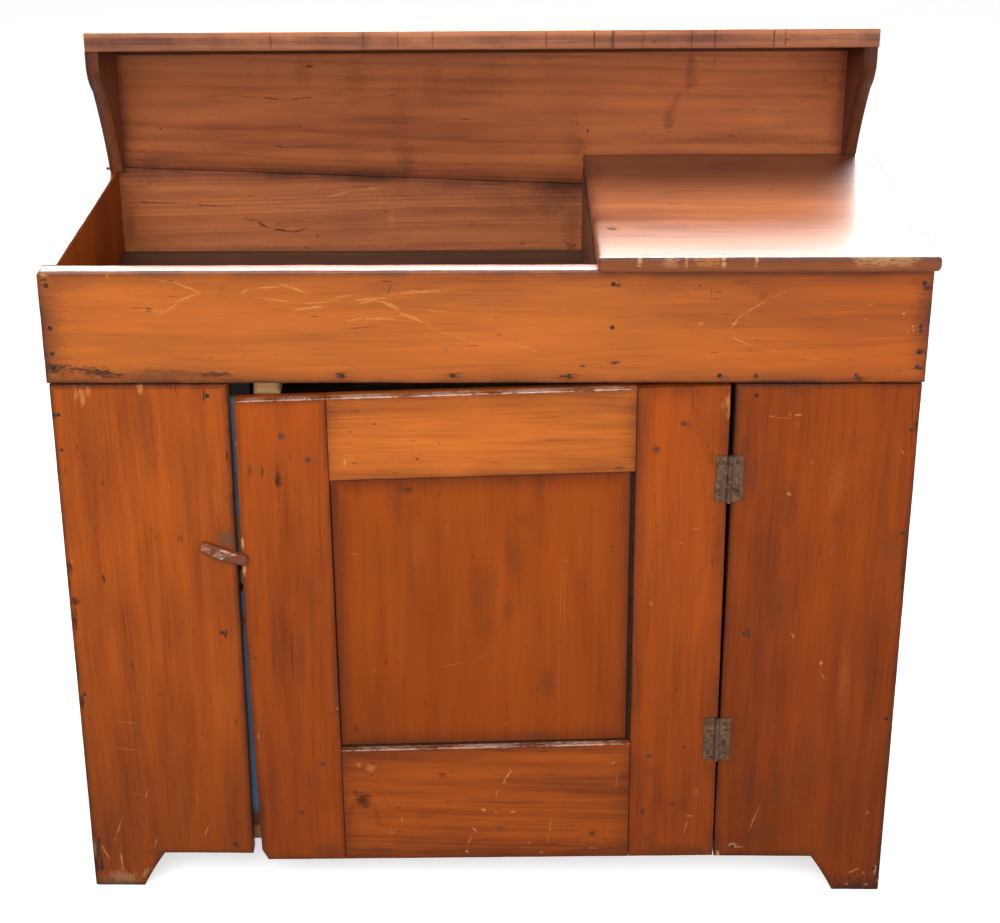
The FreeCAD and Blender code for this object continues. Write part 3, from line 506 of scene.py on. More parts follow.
# Marks on a board, by kind: place along and across, half sizes, strength, and turn in degrees if any
frontBoardSpots = {
    "knot": ((-401, 833, 5.4, 3.4, 0.8), (104, 746, 15.6, 6, 0.6)),
    "grey": ((-44, 781, 3.6, 3.9, 0.7), (-386, 753, 42.3, 2, 0.5, -2), (-529, 821, 4.7, 4.2, 0.7),
            (288, 744, 6.2, 3, 0.8), (451, 742, 2.8, 1.9, 0.6)),
    "dark": ((-172, 748, 7.3, 4.3, 0.95), (-37, 748, 7.3, 3.5, 0.9), (-521, 758, 30, 8.5, 0.9, -4),
            (-466, 752, 30, 8, 0.95, -8), (-483, 755, 56, 4, 0.9, -8), (-325, 750, 24, 4, 0.75),
            (-527, 871, 5.1, 2.3, 0.9), (-532, 776, 5.9, 2, 0.8), (-506, 770, 11.1, 0.9, 0.8, -2),
            (161, 863, 4.1, 3.6, 0.95), (259, 862, 2.4, 1.8, 0.6), (159, 764, 6.9, 2.6, 0.9),
            (121, 760, 4.9, 2.2, 0.85), (104, 746, 10.4, 3.4, 0.85), (330, 745, 4.2, 1.9, 0.8),
            (455, 743, 6.9, 3, 0.9), (527, 858, 8.8, 4.3, 0.85), (524, 805, 4.8, 3.3, 0.9),
            (526, 778, 6.9, 3.7, 0.85), (526, 756, 10.3, 3, 0.9), (498, 753, 7.6, 1, 0.6, -3),
            (157, 788, 2.4, 1.1, 0.4)),
    "sootAndShade": ((-172, 748, 15.3, 8.6, 0.6), (-37, 748, 14.6, 5.5, 0.5), (-373, 750, 88, 8, 0.75, -2),
            (-425, 747, 130, 11, 0.7, -2), (-311, 743, 40.3, 3.8, 0.6, -2), (-527, 805, 30, 75, 0.5),
            (-522, 853, 27, 40, 0.35), (-111, 859, 12.1, 1.1, 0.9, 70), (-145, 810, 25.1, 0.9, 0.9, 7),
            (-161, 761, 13.4, 1, 0.7, -15), (-409, 835, 17.9, 0.9, 0.5, -4), (-248, 832, 21.7, 4.6, 0.2),
            (-229, 788, 1.1, 1.2, 0.8), (-125, 857, 21.5, 11.3, 0.2), (-312, 857, 7.2, 15.1, 0.18),
            (272, 853, 10.5, 1, 0.8, -90), (309, 865, 17, 4.3, 0.5), (334, 849, 6.1, 5.8, 0.6),
            (282, 854, 4.8, 3.6, 0.5), (212, 857, 61.3, 10.8, 0.28), (107, 839, 44.5, 14.5, 0.18),
            (253, 858, 10.2, 2.2, 0.4), (159, 764, 11.8, 4.4, 0.5), (288, 744, 10.4, 4.5, 0.5),
            (455, 743, 15.2, 5.2, 0.4), (520, 864, 20.3, 10.8, 0.5), (528, 810, 17, 69.3, 0.5),
            (415, 811, 1.7, 1.5, 0.5), (249, 783, 2.8, 1.5, 0.4)),
    "tan": ((-525, 877, 5.1, 3.4, 0.9), (514, 810, 1.7, 1.8, 0.9), (509, 804, 1.4, 1.8, 0.8),
            (502, 826, 1.7, 1.8, 0.8), (515, 805, 1.4, 2.2, 0.7), (457, 819, 1.4, 1.1, 0.8)),
    "pale": ((-449, 877, 4.5, 1.1, 0.9, -68), (-285, 856, 9.1, 1.5, 0.8, 27), (-255, 861, 24.9, 1.4, 0.75, 5),
            (-219, 857, 16.6, 1.6, 0.8, -24), (-248, 845, 33.8, 1.2, 0.65, -9), (-197, 842, 22, 1.2, 0.6, 5),
            (-207, 835, 22, 2, 0.75, 6), (-169, 849, 17.5, 1.2, 0.55, 15), (-135, 846, 22.8, 2, 0.8, 4),
            (-140, 842, 12.3, 1.6, 0.75, 15), (-111, 838, 21.3, 2.8, 0.75, -23), (-71, 855, 43.5, 1.9, 0.65, 4),
            (-80, 856, 17.7, 1.4, 0.6, -1), (-82, 821, 24.6, 2.2, 0.7, -23), (-150, 821, 14.2, 1.4, 0.7, 10),
            (-125, 821, 24.8, 1.5, 0.75, -2), (-59, 831, 21.8, 1.5, 0.4, -6), (-40, 801, 33.4, 1.2, 0.4, -19),
            (-380, 869, 20, 1, 0.4, -12), (-355, 862, 20.6, 1.6, 0.75, -23), (-355, 848, 18.8, 1.8, 0.7, 21),
            (-377, 834, 16.7, 1.6, 0.55, 30), (-397, 832, 23.9, 1.1, 0.5, -5), (-467, 863, 22.1, 0.9, 0.3, 22),
            (-236, 863, 8.3, 2.2, 0.6, -21), (262, 814, 4.3, 1.8, 0.5, 19), (302, 815, 12, 1.9, 0.65, 56),
            (309, 792, 18.1, 1.4, 0.6, -25), (324, 834, 20.9, 1.2, 0.55, 33), (345, 780, 23.6, 1.1, 0.35, -13),
            (397, 769, 27.1, 1.1, 0.4, -10), (50, 784, 30.2, 1.1, 0.45, -19), (353, 851, 15.3, 1, 0.3, 27),
            (463, 838, 6.1, 0.8, 0.5, 29)),
}


def makeFrontBoard():
    low, rim, left, right = case["boardBottom"], case["rim"], case["boardLeft"], case["boardRight"]
    corners = [(left, low, 1.5, 0.3), (right, low, 1.5, 0.6), (right, rim, 4.0, 1.0), (left, rim, 7.0, 0.8)]
    material = pine("frontBoardPine", light=(0.505, 0.133, 0.0210), mid=(0.395, 0.094, 0.0132),
                    dark=(0.24, 0.0505, 0.0070), seed=3.0, pith=(0.86, -0.09), tilt=0.05, ringWidth=0.008,
                    depth=0.0, rub=0.2, grime=0.75, spots=frontBoardSpots, contrast=0.85, edgeShade=0.35,
                    coatRoughness=0.4, shades=(("x", 0.10, 0.52, (0.86, 0.73, 0.50)),),
                    polish=(0.8765, 0.8805, 1.0), specular=0.2)
    boardPiece("sink_front_board", "front", [(corners, (0.0, 25.0), 1.3)], material, "front_pine",
               arris=3.8, wave=0.7, nick=3.0)


leftStileSpots = {
    "dark": ((-529, 695, 3.8, 5.5, 0.9), (-533, 652, 3.6, 6.6, 0.9), (-529, 487, 5.8, 12.8, 0.95),
            (-525, 437, 6.9, 7.7, 0.9), (-527, 410, 4.2, 20.9, 0.9), (-342, 723, 2.3, 9.2, 0.95),
            (-502, 727, 9.6, 1.1, 0.7, 88), (-376, 726, 11.1, 0.9, 0.8, -89), (-318, 640, 1.8, 8.3, 0.85),
            (-485, 469, 1.8, 6.4, 0.9), (-360, 448, 1.3, 1.5, 0.8), (-333, 392, 3.2, 5.4, 0.85),
            (-384, 591, 1, 2.8, 0.4), (-359, 583, 1, 1.1, 0.6), (-458, 345, 8.4, 1, 0.9, -82),
            (-454, 331, 2.1, 1.8, 0.5), (-528, 289, 3.5, 13, 0.9), (-418, 342, 1.3, 1.2, 0.8),
            (-424, 300, 8.1, 0.8, 0.7, 21), (-524, 63, 4.2, 26.4, 0.9, -6), (-522, 34, 3.9, 16.7, 0.95),
            (-486, 19, 1.7, 20.1, 0.8), (-511, 9, 8.4, 6, 0.5), (-335, 66, 3.6, 5.9, 0.8), (-334, 390, 2.9, 6.6, 0.8),
            (-333, 198, 2.2, 1.6, 0.5), (-332, 101, 1.7, 2, 0.6), (-461, 280, 1.3, 1.2, 0.6),
            (-534, 34, 14, 60, 0.98, -3), (-533, 40, 10, 50, 0.98), (-496, 12, 1.6, 20, 0.6, -12),
            (-480, 3, 24, 3, 0.7), (-531, 330, 3.5, 26, 0.7), (-531, 470, 3, 14, 0.7), (-531, 180, 3, 18, 0.6)),
    "sootAndShade": ((-522, 621, 3.6, 9.5, 0.7), (-522, 533, 3.1, 37.3, 0.5), (-533, 675, 5.1, 16.5, 0.5),
            (-418, 685, 15.2, 92.8, 0.45), (-487, 626, 17.9, 117, 0.33), (-444, 708, 7.6, 54.2, 0.22),
            (-384, 526, 4.7, 6.3, 0.6), (-485, 469, 4.2, 9.9, 0.5), (-327, 527, 12.9, 14.3, 0.5),
            (-321, 526, 19, 15, 0.8), (-337, 732, 22.6, 4.3, 0.4), (-467, 734, 65.3, 3.2, 0.5),
            (-438, 572, 5.2, 45.3, 0.25), (-410, 498, 5.2, 57.9, 0.15), (-512, 434, 15.8, 53.3, 0.25),
            (-528, 289, 6.5, 18.6, 0.5), (-392, 168, 7.1, 57.5, 0.3), (-497, 83, 47.2, 52.5, 0.35),
            (-517, 180, 13.7, 127.7, 0.28), (-400, 116, 6.1, 32.4, 0.3), (-426, 54, 91.9, 4.6, 0.4),
            (-500, 6, 40, 14, 0.5)),
    "tan": ((-524, 493, 1.8, 2.9, 0.6), (-493, 13, 28, 10, 0.5), (-462, 21, 4.5, 13.4, 0.4, -35),
            (-368, 58, 1.7, 1.3, 0.6), (-500, 14, 20, 13, 0.3), (-529, 60, 2, 20, 0.4)),
    "pale": ((-492, 720, 4.5, 14.9, 0.75), (-500, 724, 3.5, 10.8, 0.5), (-484, 727, 4, 8.1, 0.6),
            (-420, 730, 4.5, 8.6, 0.75), (-393, 601, 1, 1.1, 0.7), (-477, 640, 1, 2.2, 0.4),
            (-336, 570, 4.1, 33.9, 0.12), (-470, 258, 23, 0.6, 0.5, -8), (-473, 217, 24.7, 0.6, 0.5, -8),
            (-494, 93, 26.6, 1, 0.75, 71), (-494, 41, 19.1, 1.9, 0.8, -89), (-515, 54, 15.6, 1.9, 0.6, -68),
            (-375, 90, 10.4, 1.2, 0.7, 71), (-452, 149, 8.2, 1, 0.6, 75), (-459, 145, 19, 0.6, 0.45, -22),
            (-445, 71, 8.6, 1.2, 0.5, 71), (-416, 210, 12, 0.5, 0.4, -10), (-517, 344, 9.2, 0.5, 0.4, -21),
            (-385, 139, 2.2, 9.7, 0.2)),
    "grey": ((-324, 525, 15, 12, 0.85), (-335, 66, 1.9, 3, 0.6), (-500, 6, 44, 14, 0.6)),
}


rightStileSpots = {
    "pale": ((353, 693, 5.3, 1.2, 0.6, -13), (367, 691, 10.8, 0.6, 0.6, -3), (374, 697, 6, 1.1, 0.7, -67),
            (385, 695, 5.9, 1.5, 0.85, 2), (384, 683, 2.1, 1.1, 0.5), (383, 641, 1.9, 0.7, 0.5),
            (404, 632, 2.9, 1.4, 0.4), (379, 589, 3.3, 3.2, 0.9), (437, 508, 1.9, 3.8, 0.4, -24),
            (514, 647, 4.8, 1, 0.6, -58), (395, 392, 3, 1.5, 0.6), (439, 604, 12.5, 41.3, 0.12),
            (434, 350, 3.1, 3.5, 0.9), (437, 331, 8, 0.8, 0.6, -64), (396, 390, 2, 3.5, 0.5),
            (359, 112, 21.9, 1.1, 0.7, 73), (357, 112, 2.9, 1.1, 0.7, 21), (509, 124, 1.6, 2.7, 0.8),
            (511, 27, 4.7, 1.1, 0.7, -54), (464, 323, 8.8, 51, 0.1)),
    "grey": ((400, 632, 4.6, 2.7, 0.5), (439, 513, 3, 8.5, 0.6, -24), (530, 475, 2.5, 4.8, 0.5),
            (338, 395, 4.3, 6.9, 0.6), (312, 730, 32.7, 1.5, 0.45), (410, 732, 61.2, 1.1, 0.4),
            (338, 390, 2.6, 5, 0.4), (384, 56, 3.2, 2.8, 0.4), (505, 6, 14, 4, 0.5, 10)),
    "dark": ((528, 679, 3.5, 8.1, 0.85), (524, 678, 61.5, 0.8, 0.75, -87), (529, 480, 4.7, 19.1, 0.8),
            (530, 459, 5.5, 5.8, 0.85), (535, 604, 1.7, 20.7, 0.4), (338, 395, 4.7, 8.3, 0.6),
            (338, 390, 3.5, 6.5, 0.7), (532, 269, 4, 8.8, 0.95), (533, 338, 2.2, 15.2, 0.4), (343, 57, 3.2, 5.5, 0.7),
            (531, 31, 5.1, 15.3, 0.95), (457, 27, 27.2, 1.8, 0.5, -49), (497, -2, 64, 22, 0.9),
            (473, 15, 4, 11, 0.6, 25), (531, 60, 3, 40, 0.6)),
    "sootAndShade": ((527, 725, 6.1, 13.3, 0.4), (380, 576, 14.6, 37.1, 0.4), (369, 508, 19, 35.5, 0.35),
            (373, 437, 23.5, 48.4, 0.4), (456, 658, 8.2, 24.8, 0.3), (472, 604, 12.5, 57.4, 0.25),
            (496, 622, 12.4, 86.7, 0.25), (322, 649, 8.3, 24.9, 0.6), (323, 590, 7.5, 20.8, 0.55),
            (384, 725, 20.4, 4, 0.5), (416, 506, 16.9, 47.3, 0.16), (510, 513, 14.7, 28.3, 0.35),
            (440, 555, 18.9, 14, 0.25), (525, 229, 4.5, 13.1, 0.5), (388, 166, 15.9, 42.8, 0.5),
            (382, 203, 11.3, 18.5, 0.3), (369, 90, 29.8, 30.1, 0.45), (503, 11, 37, 16.8, 0.65),
            (477, 19, 9.3, 13.9, 0.5), (471, 104, 25.1, 51.7, 0.3), (417, 60, 76, 7.2, 0.5), (325, 260, 9, 15.6, 0.5),
            (329, 208, 13.5, 18.5, 0.6), (304, 234, 9, 39.3, 0.3), (535, 140, 6.8, 107.7, 0.3),
            (500, 8, 48, 17, 0.75), (325, 610, 17, 46, 0.6), (324, 237, 18, 50, 0.65), (420, 190, 24, 75, 0.35),
            (352, 150, 30, 60, 0.3)),
    "tan": ((517, 509, 1.7, 0.9, 0.5), (333, 71, 6, 4.9, 0.7), (338, 68, 9.2, 1.7, 0.6), (314, 57, 2.8, 7.2, 0.8),
            (537, 31, 2.3, 13.9, 0.6), (497, 31, 9.7, 1, 0.8, 28), (489, 10, 3.2, 2.8, 0.5), (531, 15, 3.7, 2.8, 0.5),
            (367, 49, 2.3, 1.4, 0.6), (526, 33, 2.2, 9, 0.7), (515, 9, 5, 2, 0.6, 20)),
}


def makeStiles():
    top, opening, side = case["stileTop"], case["footTop"], case["side"]
    leftFoot = footCurve(-side + case["footWidth"] + 2.0, 1)
    rightFoot = footCurve(side - case["footWidth"] + 2.5, -1)
    leftCorners = [(-side, 0.0, 3.0, 1.0), *leftFoot, (case["openingLeft"], opening, 1.0, 0.8),
                   (case["openingLeft"], top, 0.0, 0.5), (-side, top, 0.0, 0.6)]
    rightCorners = [(case["openingRight"], opening, 1.0, 0.8), *rightFoot[::-1], (side, 0.0, 3.0, 1.0),
                    (side, top, 0.0, 0.6), (case["openingRight"], top, 0.0, 0.5)]
    shared = {"grain": "z", "depth": case["stileFace"], "grime": 0.8}
    leftPine = pine("leftStilePine", light=(0.405, 0.0825, 0.0083), mid=(0.320, 0.0600, 0.0058),
                    dark=(0.1596, 0.0259, 0.0026), seed=5.0, pith=(-0.33, -0.13), tilt=-0.06,
                    shades=(("z", 0.44, 0.08, (0.68, 0.66, 0.64)),), spots=leftStileSpots, **shared)
    rightPine = pine("rightStilePine", light=(0.284, 0.0500, 0.0030), mid=(0.211, 0.0342, 0.0018),
                     dark=(0.12, 0.018, 0.0012), seed=8.0, pith=(0.56, -0.10), tilt=0.05,
                     shades=(("z", 0.62, 0.02, (0.74, 0.72, 0.68)),), spots=rightStileSpots, **shared)
    for name, corners, material, seed in (("front_stile_left", leftCorners, leftPine, 2.1),
                                          ("front_stile_right", rightCorners, rightPine, 3.4)):
        boardPiece(name, "front", [(corners, (case["stileFace"], case["front"]), seed)], material, "stile_pine",
                   arris=1.8, wave=0.8, nick=3.0, deepest=9.0)


def makeSides():
    front, back, foot = case["front"], case["back"], case["footWidth"]
    corners = [(front, 0.0)] + footCurve(front + foot, 1) + footCurve(back - foot, -1)[::-1]
    corners += [(back, 0.0, 2.0), (back, case["rim"]), (front, case["rim"])]
    material = pine("sidePine", light=(0.33, 0.068, 0.0095), mid=(0.245, 0.046, 0.0060),
                    dark=(0.125, 0.021, 0.0026), grain="z", face="side", depth=-case["side"], pith=(0.02, 0.40),
                    tilt=0.04, seed=11.0, polish=(0.8765, 0.8805, 1.0), coatRoughness=0.4, specular=0.06,
                    coat=0.02, grime=0.8, shades=(("z", 0.62, 0.02, (0.72, 0.70, 0.68)),))
    for name, way, seed in (("side_left", -1, 4.2), ("side_right", 1, 6.6)):
        boardPiece(name, "side", [(corners, (way * case["side"], way * inner), seed)], material, "case_pine",
                   arris=2.2, wave=0.7, nick=2.5, deepest=9.0)


def makeTray():
    insidePine = pine("trayPine", light=(0.158, 0.080, 0.048), mid=(0.112, 0.055, 0.033),
                      dark=(0.0425, 0.0171, 0.011), face="top", depth=case["trayFloor"], seed=14.0, grime=0.9,
                      roughness=0.6, coat=0.05, grimeColour=(0.085, 0.065, 0.050))
    boards = [(rectangle(-inner, inner, y0, y1), (case["trayFloor"], case["trayUnder"]), 1.0 + y0 / 90)
              for y0, y1 in rowsBetween(case["front"], case["back"], 3)]
    boardPiece("sink_floor_boards", "top", boards, insidePine, "sink_pine", arris=1.0, wave=0.3)
    roughPine = pine("sawnPine", light=(0.46, 0.24, 0.105), mid=(0.37, 0.18, 0.075), dark=(0.20, 0.09, 0.035),
                     face="top", depth=case["trayUnder"], seed=17.0, grime=0.5, roughness=0.75, coat=0.0, rub=0.2)
    cleat = {"width": 25.0, "front": 41.0, "back": 445.0}
    cleats = [(rectangle(x0, x0 + cleat["width"], cleat["front"], cleat["back"]),
               (case["trayUnder"], case["trayUnder"] - cleat["width"]), 2.0 + x0 / 300)
              for x0 in (-inner, inner - cleat["width"])]
    boardPiece("sink_floor_cleats", "top", cleats, roughPine, "rough_pine", arris=0.8, wave=0.4, deepest=10.0)
    partition = {"left": case["surfaceLeft"], "thickness": 26.0}
    partitionPine = pine("partitionPine", light=(0.235, 0.092, 0.056), mid=(0.175, 0.068, 0.040),
                         dark=(0.09, 0.034, 0.019), grain="y", face="side", depth=partition["left"], seed=19.0,
                         grime=0.8)
    corners = rectangle(case["front"], case["back"], case["trayFloor"], case["rim"])
    span = (partition["left"], partition["left"] + partition["thickness"])
    boardPiece("sink_partition", "side", [(corners, span, 3.0)], partitionPine, "sink_pine", arris=1.2, wave=0.4)


workSurfaceSpots = {
    "dark": ((160, 102, 5.3, 6.5, 0.9), (526, 104, 5.3, 5.3, 0.5), (241, 212, 9.4, 5.6, 0.4),
            (373, 274, 8, 7.4, 0.3)),
    # the broad patches toward the rear, under the shelf, are painted shadow of the shelf
    "sootAndShade": ((160, 102, 11.4, 13, 0.5), (364, 413, 37.8, 42, 0.6), (298, 422, 126.7, 48.7, 0.3),
            (310, 134, 20.9, 2, 0.55, -7), (220, 107, 60.6, 20.8, 0.3), (187, 76, 37.5, 12.7, 0.35),
            (148, 299, 12.5, 1.1, 0.5, -47), (181, 294, 31.4, 0.8, 0.3, 4), (148, 376, 16.7, 78.6, 0.3),
            (409, 462, 120, 30, 0.65), (237, 452, 120, 36, 0.6), (330, 400, 70, 16, 0.5, 4),
            (215, 385, 60, 10, 0.45, -6)),
    "pale": ((353, 262, 2, 5.8, 0.7), (260, 225, 2.4, 5.7, 0.4), (240, -12, 2.9, 6, 0.7), (265, -12, 21.7, 6, 0.5)),
    "tan": ((185, -12, 3.6, 6, 0.8), (284, -12, 3.3, 6, 0.9), (322, -12, 2.5, 6, 0.8), (222, -12, 10.9, 6, 0.5),
            (468, -12, 25.2, 6, 0.6), (493, -12, 21.6, 6, 0.5), (446, -12, 14.4, 6, 0.5)),
}


def makeWorkSurface():
    surface = {"right": 540.0, "front": -15.5, "frontRadius": 6.0, "backRadius": 1.0}
    left, right, top = case["surfaceLeft"], surface["right"], case["surfaceTop"]
    corners = [(left, surface["front"], surface["frontRadius"], 1.0),
               (right, surface["front"], surface["frontRadius"], 1.0),
               (right, case["back"], surface["backRadius"], 0.6), (left, case["back"], surface["backRadius"], 0.6)]
    # the first band darkens the rear of the surface: painted shadow of the shelf; the second darkens the front edge's
    # face
    shades = (("y", 0.03, 0.14, (0.36, 0.32, 0.32)), ("y", -0.241, -0.244, (0.44, 0.34, 0.20)))
    material = pine("workSurfacePine", light=(0.585, 0.200, 0.084), mid=(0.43, 0.137, 0.057),
                    dark=(0.195, 0.055, 0.023), face="top", shades=shades, specular=0.2, coatRoughness=0.25,
                    depth=top, seed=23.0, pith=(0.05, 0.83), tilt=0.06, coat=0.15,
                    polish=(0.8965, 0.9005, 0.85), rub=0.25, roughness=0.42, grime=0.35, spots=workSurfaceSpots)
    boardPiece("work_surface", "top", [(corners, (top, case["rim"]), 5.5)], material, "work_pine",
               arris=6.0, wave=0.8, nick=3.0, step=5.0)


upperSplashSpots = {
    # the tall bands beside the brackets and the long band just under the shelf are painted shade
    "sootAndShade": ((-504, 970, 7, 130, 0.75), (490, 985, 8, 120, 0.7), (497, 930, 14, 60, 0.4), (-242, 1026, 9.2, 4.3, 0.5),
            (-320, 910, 39.8, 0.8, 0.4, 1), (-258, 870, 18.1, 2.5, 0.6, -8), (-132, 862, 29.9, 2.8, 0.5, -3),
            (-111, 887, 14.5, 40.8, 0.6), (-114, 909, 21.6, 22.1, 0.35), (-122, 875, 21.7, 6.7, 0.5),
            (-177, 1003, 21.4, 39.5, 0.35), (-117, 971, 17.9, 57.9, 0.3), (-251, 1018, 14.2, 25, 0.35),
            (-451, 899, 50.9, 13.4, 0.4), (-474, 890, 32.8, 6, 0.5), (-345, 989, 56.3, 2.5, 0.2, 9),
            (-206, 987, 32.1, 5, 0.4), (-392, 928, 57.8, 11, 0.14), (-156, 980, 59, 1.5, 0.35, 2),
            (-190, 916, 28.8, 33.1, 0.22), (-294, 1018, 10.7, 21.5, 0.15), (-500, 973, 8.6, 80.1, 0.35),
            (-70, 999, 17.8, 43, 0.25), (-67, 930, 43.1, 18.3, 0.12), (-31, 992, 21.3, 10.8, 0.2),
            (281, 1021, 7.6, 38.3, 0.6, -5), (281, 1002, 11, 14.5, 0.6), (253, 948, 9.4, 21.7, 0.7),
            (262, 974, 7.6, 25.9, 0.45, -20), (234, 998, 25.4, 12.9, 0.25), (1, 999, 38.3, 30, 0.28),
            (129, 975, 55.3, 25.9, 0.16), (129, 909, 17.2, 22, 0.6), (121, 922, 17.1, 39.4, 0.35),
            (486, 951, 10.2, 43.4, 0.5), (484, 921, 12.8, 17.5, 0.4), (313, 1029, 2.5, 17, 0.3),
            (81, 1039, 12.7, 12.7, 0.25), (426, 1031, 16.8, 12.7, 0.2), (446, 979, 25.4, 3.4, 0.3),
            (347, 921, 162.2, 8.8, 0.35), (202, 931, 38.5, 13.1, 0.2), (275, 1038, 210.2, 3.4, 0.3)),
    "dark": ((-242, 1025, 5.3, 3.2, 0.9), (-324, 983, 15.8, 0.9, 0.7, -5), (-295, 981, 23.6, 1.1, 0.9, -6),
            (-254, 981, 21.9, 1, 0.85, 6), (-286, 913, 14.1, 1, 0.85, -12), (-260, 912, 25.9, 0.9, 0.6, 2),
            (-257, 873, 25, 2, 0.85, -6), (-218, 869, 23.1, 1.8, 0.85, -7), (-29, 950, 6.4, 1.5, 0.8),
            (-154, 1006, 1.8, 1.4, 0.8), (-452, 939, 1.8, 1.8, 0.8), (-258, 942, 2.2, 3.3, 0.6),
            (-494, 1018, 1.8, 2.5, 0.5), (127, 943, 2.1, 2.2, 0.8), (142, 933, 2.1, 4.4, 0.8),
            (464, 1003, 2.5, 3.8, 0.5), (339, 926, 2.1, 1.7, 0.6), (410, 923, 1.7, 1.7, 0.7),
            (8, 1024, 1.7, 2.1, 0.6)),
    "pale": ((384, 952, 38.2, 21.7, 0.12),),
}


lowerSplashSpots = {
    "dark": ((-469, 833, 46.3, 1, 0.9, -3), (-394, 829, 44.3, 0.9, 0.85, -3), (-325, 806, 16.4, 1.1, 0.9, -13),
            (-315, 799, 13.2, 1.9, 0.9, -26), (-290, 792, 21.3, 1.6, 0.95, -7), (-262, 792, 14.9, 1.1, 0.8, 16),
            (-238, 784, 3.3, 2.3, 0.9), (-254, 766, 4.4, 2.3, 0.8), (51, 771, 6.1, 2.3, 0.6),
            (123, 767, 10.5, 6.4, 0.6)),
    # the long low bands along the tray floor are painted shade in the corner
    "sootAndShade": ((-229, 823, 136.6, 0.8, 0.7, -2), (-56, 818, 53.7, 0.8, 0.5, -2), (-248, 800, 16.2, 1.1, 0.7, 4),
            (-274, 801, 47.7, 8.4, 0.3), (-357, 767, 2.2, 3.1, 0.5), (-378, 784, 2.2, 3.1, 0.5),
            (-486, 870, 40.2, 13.5, 0.55), (-495, 851, 29.3, 18.8, 0.4), (-426, 843, 95.1, 9.8, 0.3),
            (-323, 858, 62, 15, 0.16), (-105, 842, 72.7, 10.5, 0.35), (-504, 802, 9.6, 42, 0.5),
            (-253, 764, 258.1, 5.4, 0.5), (-132, 778, 25.7, 7.6, 0.2), (-18, 800, 4.4, 3.8, 0.4),
            (100, 834, 47.8, 31.4, 0.5), (122, 807, 17.4, 54.3, 0.55), (22, 839, 60.9, 11.7, 0.35),
            (31, 816, 56.7, 13.6, 0.25), (66, 761, 87.8, 7.3, 0.5)),
    "pale": ((-207, 844, 25, 2, 0.55, 14), (-161, 852, 26.2, 1.8, 0.5, 7), (-243, 852, 16.2, 1.2, 0.35, 7),
            (-133, 806, 7.3, 15.2, 0.25), (-481, 783, 22.2, 7.7, 0.15), (7, 855, 31, 0.6, 0.4, -2)),
}


def makeSplash():
    side = case["side"]
    splash = {"seam": 884.5, "seamFall": 42.5}
    left, right, shelfUnder = case["splashLeft"], case["splashRight"], case["shelfUnder"]

    def seam(x):
        return splash["seam"] - splash["seamFall"] * (x - left) / (right - left)

    upper = [(left, seam(left)), (right, seam(right)), (right, shelfUnder), (left, shelfUnder)]
    lower = [(-side, case["boardBottom"]), (side, case["boardBottom"]), (side, seam(side)), (-side, seam(-side))]
    shared = {"mid": (0.335, 0.0915, 0.0295), "dark": (0.13, 0.030, 0.0095), "depth": case["back"], "grime": 0.85,
              "ringWidth": 0.0075, "contrast": 0.85, "ring": 0.3, "fibre": 0.45, "edgeShade": 0.6,
              # faceShades: painted light on the splash below the shelf, then a painted shadow line under the shelf's
              # front edge
              "faceShades": (("z", 1.000, 1.041, (1.40, 1.60, 1.95)), ("z", 1.0412, 1.0432, (0.20, 0.17, 0.16))),
              "shades": (("y", *(toFrame(0, y, 0).y for y in (468.0, 473.0)), (1.1, 1.9, 2.8)),)}
    upperPine = pine("upperSplashPine", light=(0.415, 0.119, 0.0390), seed=27.0, pith=(0.96, 0.35), tilt=-0.03,
                     spots=upperSplashSpots, **shared)
    lowerPine = pine("lowerSplashPine", light=(0.55, 0.185, 0.072), seed=31.0, pith=(0.72, 0.33), tilt=0.02,
                     spots=lowerSplashSpots, **shared)
    for name, corners, material, seed in (("splash_board_upper", upper, upperPine, 7.1),
                                          ("splash_board_lower", lower, lowerPine, 8.2)):
        boardPiece(name, "front", [(corners, (case["back"], case["rear"]), seed)], material, "splash_pine",
                   arris=1.2, wave=0.4)


shelfSpots = {
    "dark": ((-278, 330, 1.4, 7, 0.5), (-157, 330, 1.4, 7, 0.5), (-112, 330, 1.4, 7, 0.5), (-67, 330, 1.4, 7, 0.5),
            (143, 330, 1.4, 7, 0.85), (167, 330, 1.5, 7, 0.85), (81, 330, 1.4, 7, 0.6), (269, 330, 1.4, 7, 0.6),
            (299, 330, 1.4, 7, 0.8), (375, 330, 1.5, 7, 0.75), (390, 330, 1.4, 7, 0.7)),
    "sootAndShade": ((-156, 330, 9, 7, 0.5), (-348, 330, 13.5, 7, 0.4), (-412, 330, 1.4, 7, 0.5), (-210, 330, 20.2, 7, 0.25),
            (-494, 330, 27.1, 7, 0.4), (-398, 330, 27, 7, 0.2), (167, 330, 4.8, 7, 0.6), (270, 330, 10.4, 7, 0.4),
            (497, 330, 19.9, 7, 0.4), (206, 330, 4, 7, 0.5), (238, 330, 1.4, 7, 0.4), (343, 330, 119.8, 7, 0.3)),
}


def makeShelf():
    shelf = {"left": -523.0, "right": 512.0, "front": 330.0, "top": 1099.0, "radius": 2.0}
    corners = rectangle(shelf["left"], shelf["right"], shelf["front"], case["rear"], shelf["radius"])
    material = pine("shelfPine", light=(0.575, 0.210, 0.093), mid=(0.43, 0.152, 0.065), dark=(0.17, 0.045, 0.017),
                    face="top", depth=1087.0, seed=35.0, grime=0.5, rub=0.2, coat=0.35, spots=shelfSpots,
                    shades=(("z", 1.0845, 1.0755, (0.66, 0.60, 0.58)),))
    boardPiece("gallery_shelf", "top", [(corners, (shelf["top"], case["shelfUnder"]), 9.3)], material, "work_pine",
               arris=2.2, wave=0.8, nick=2.5)


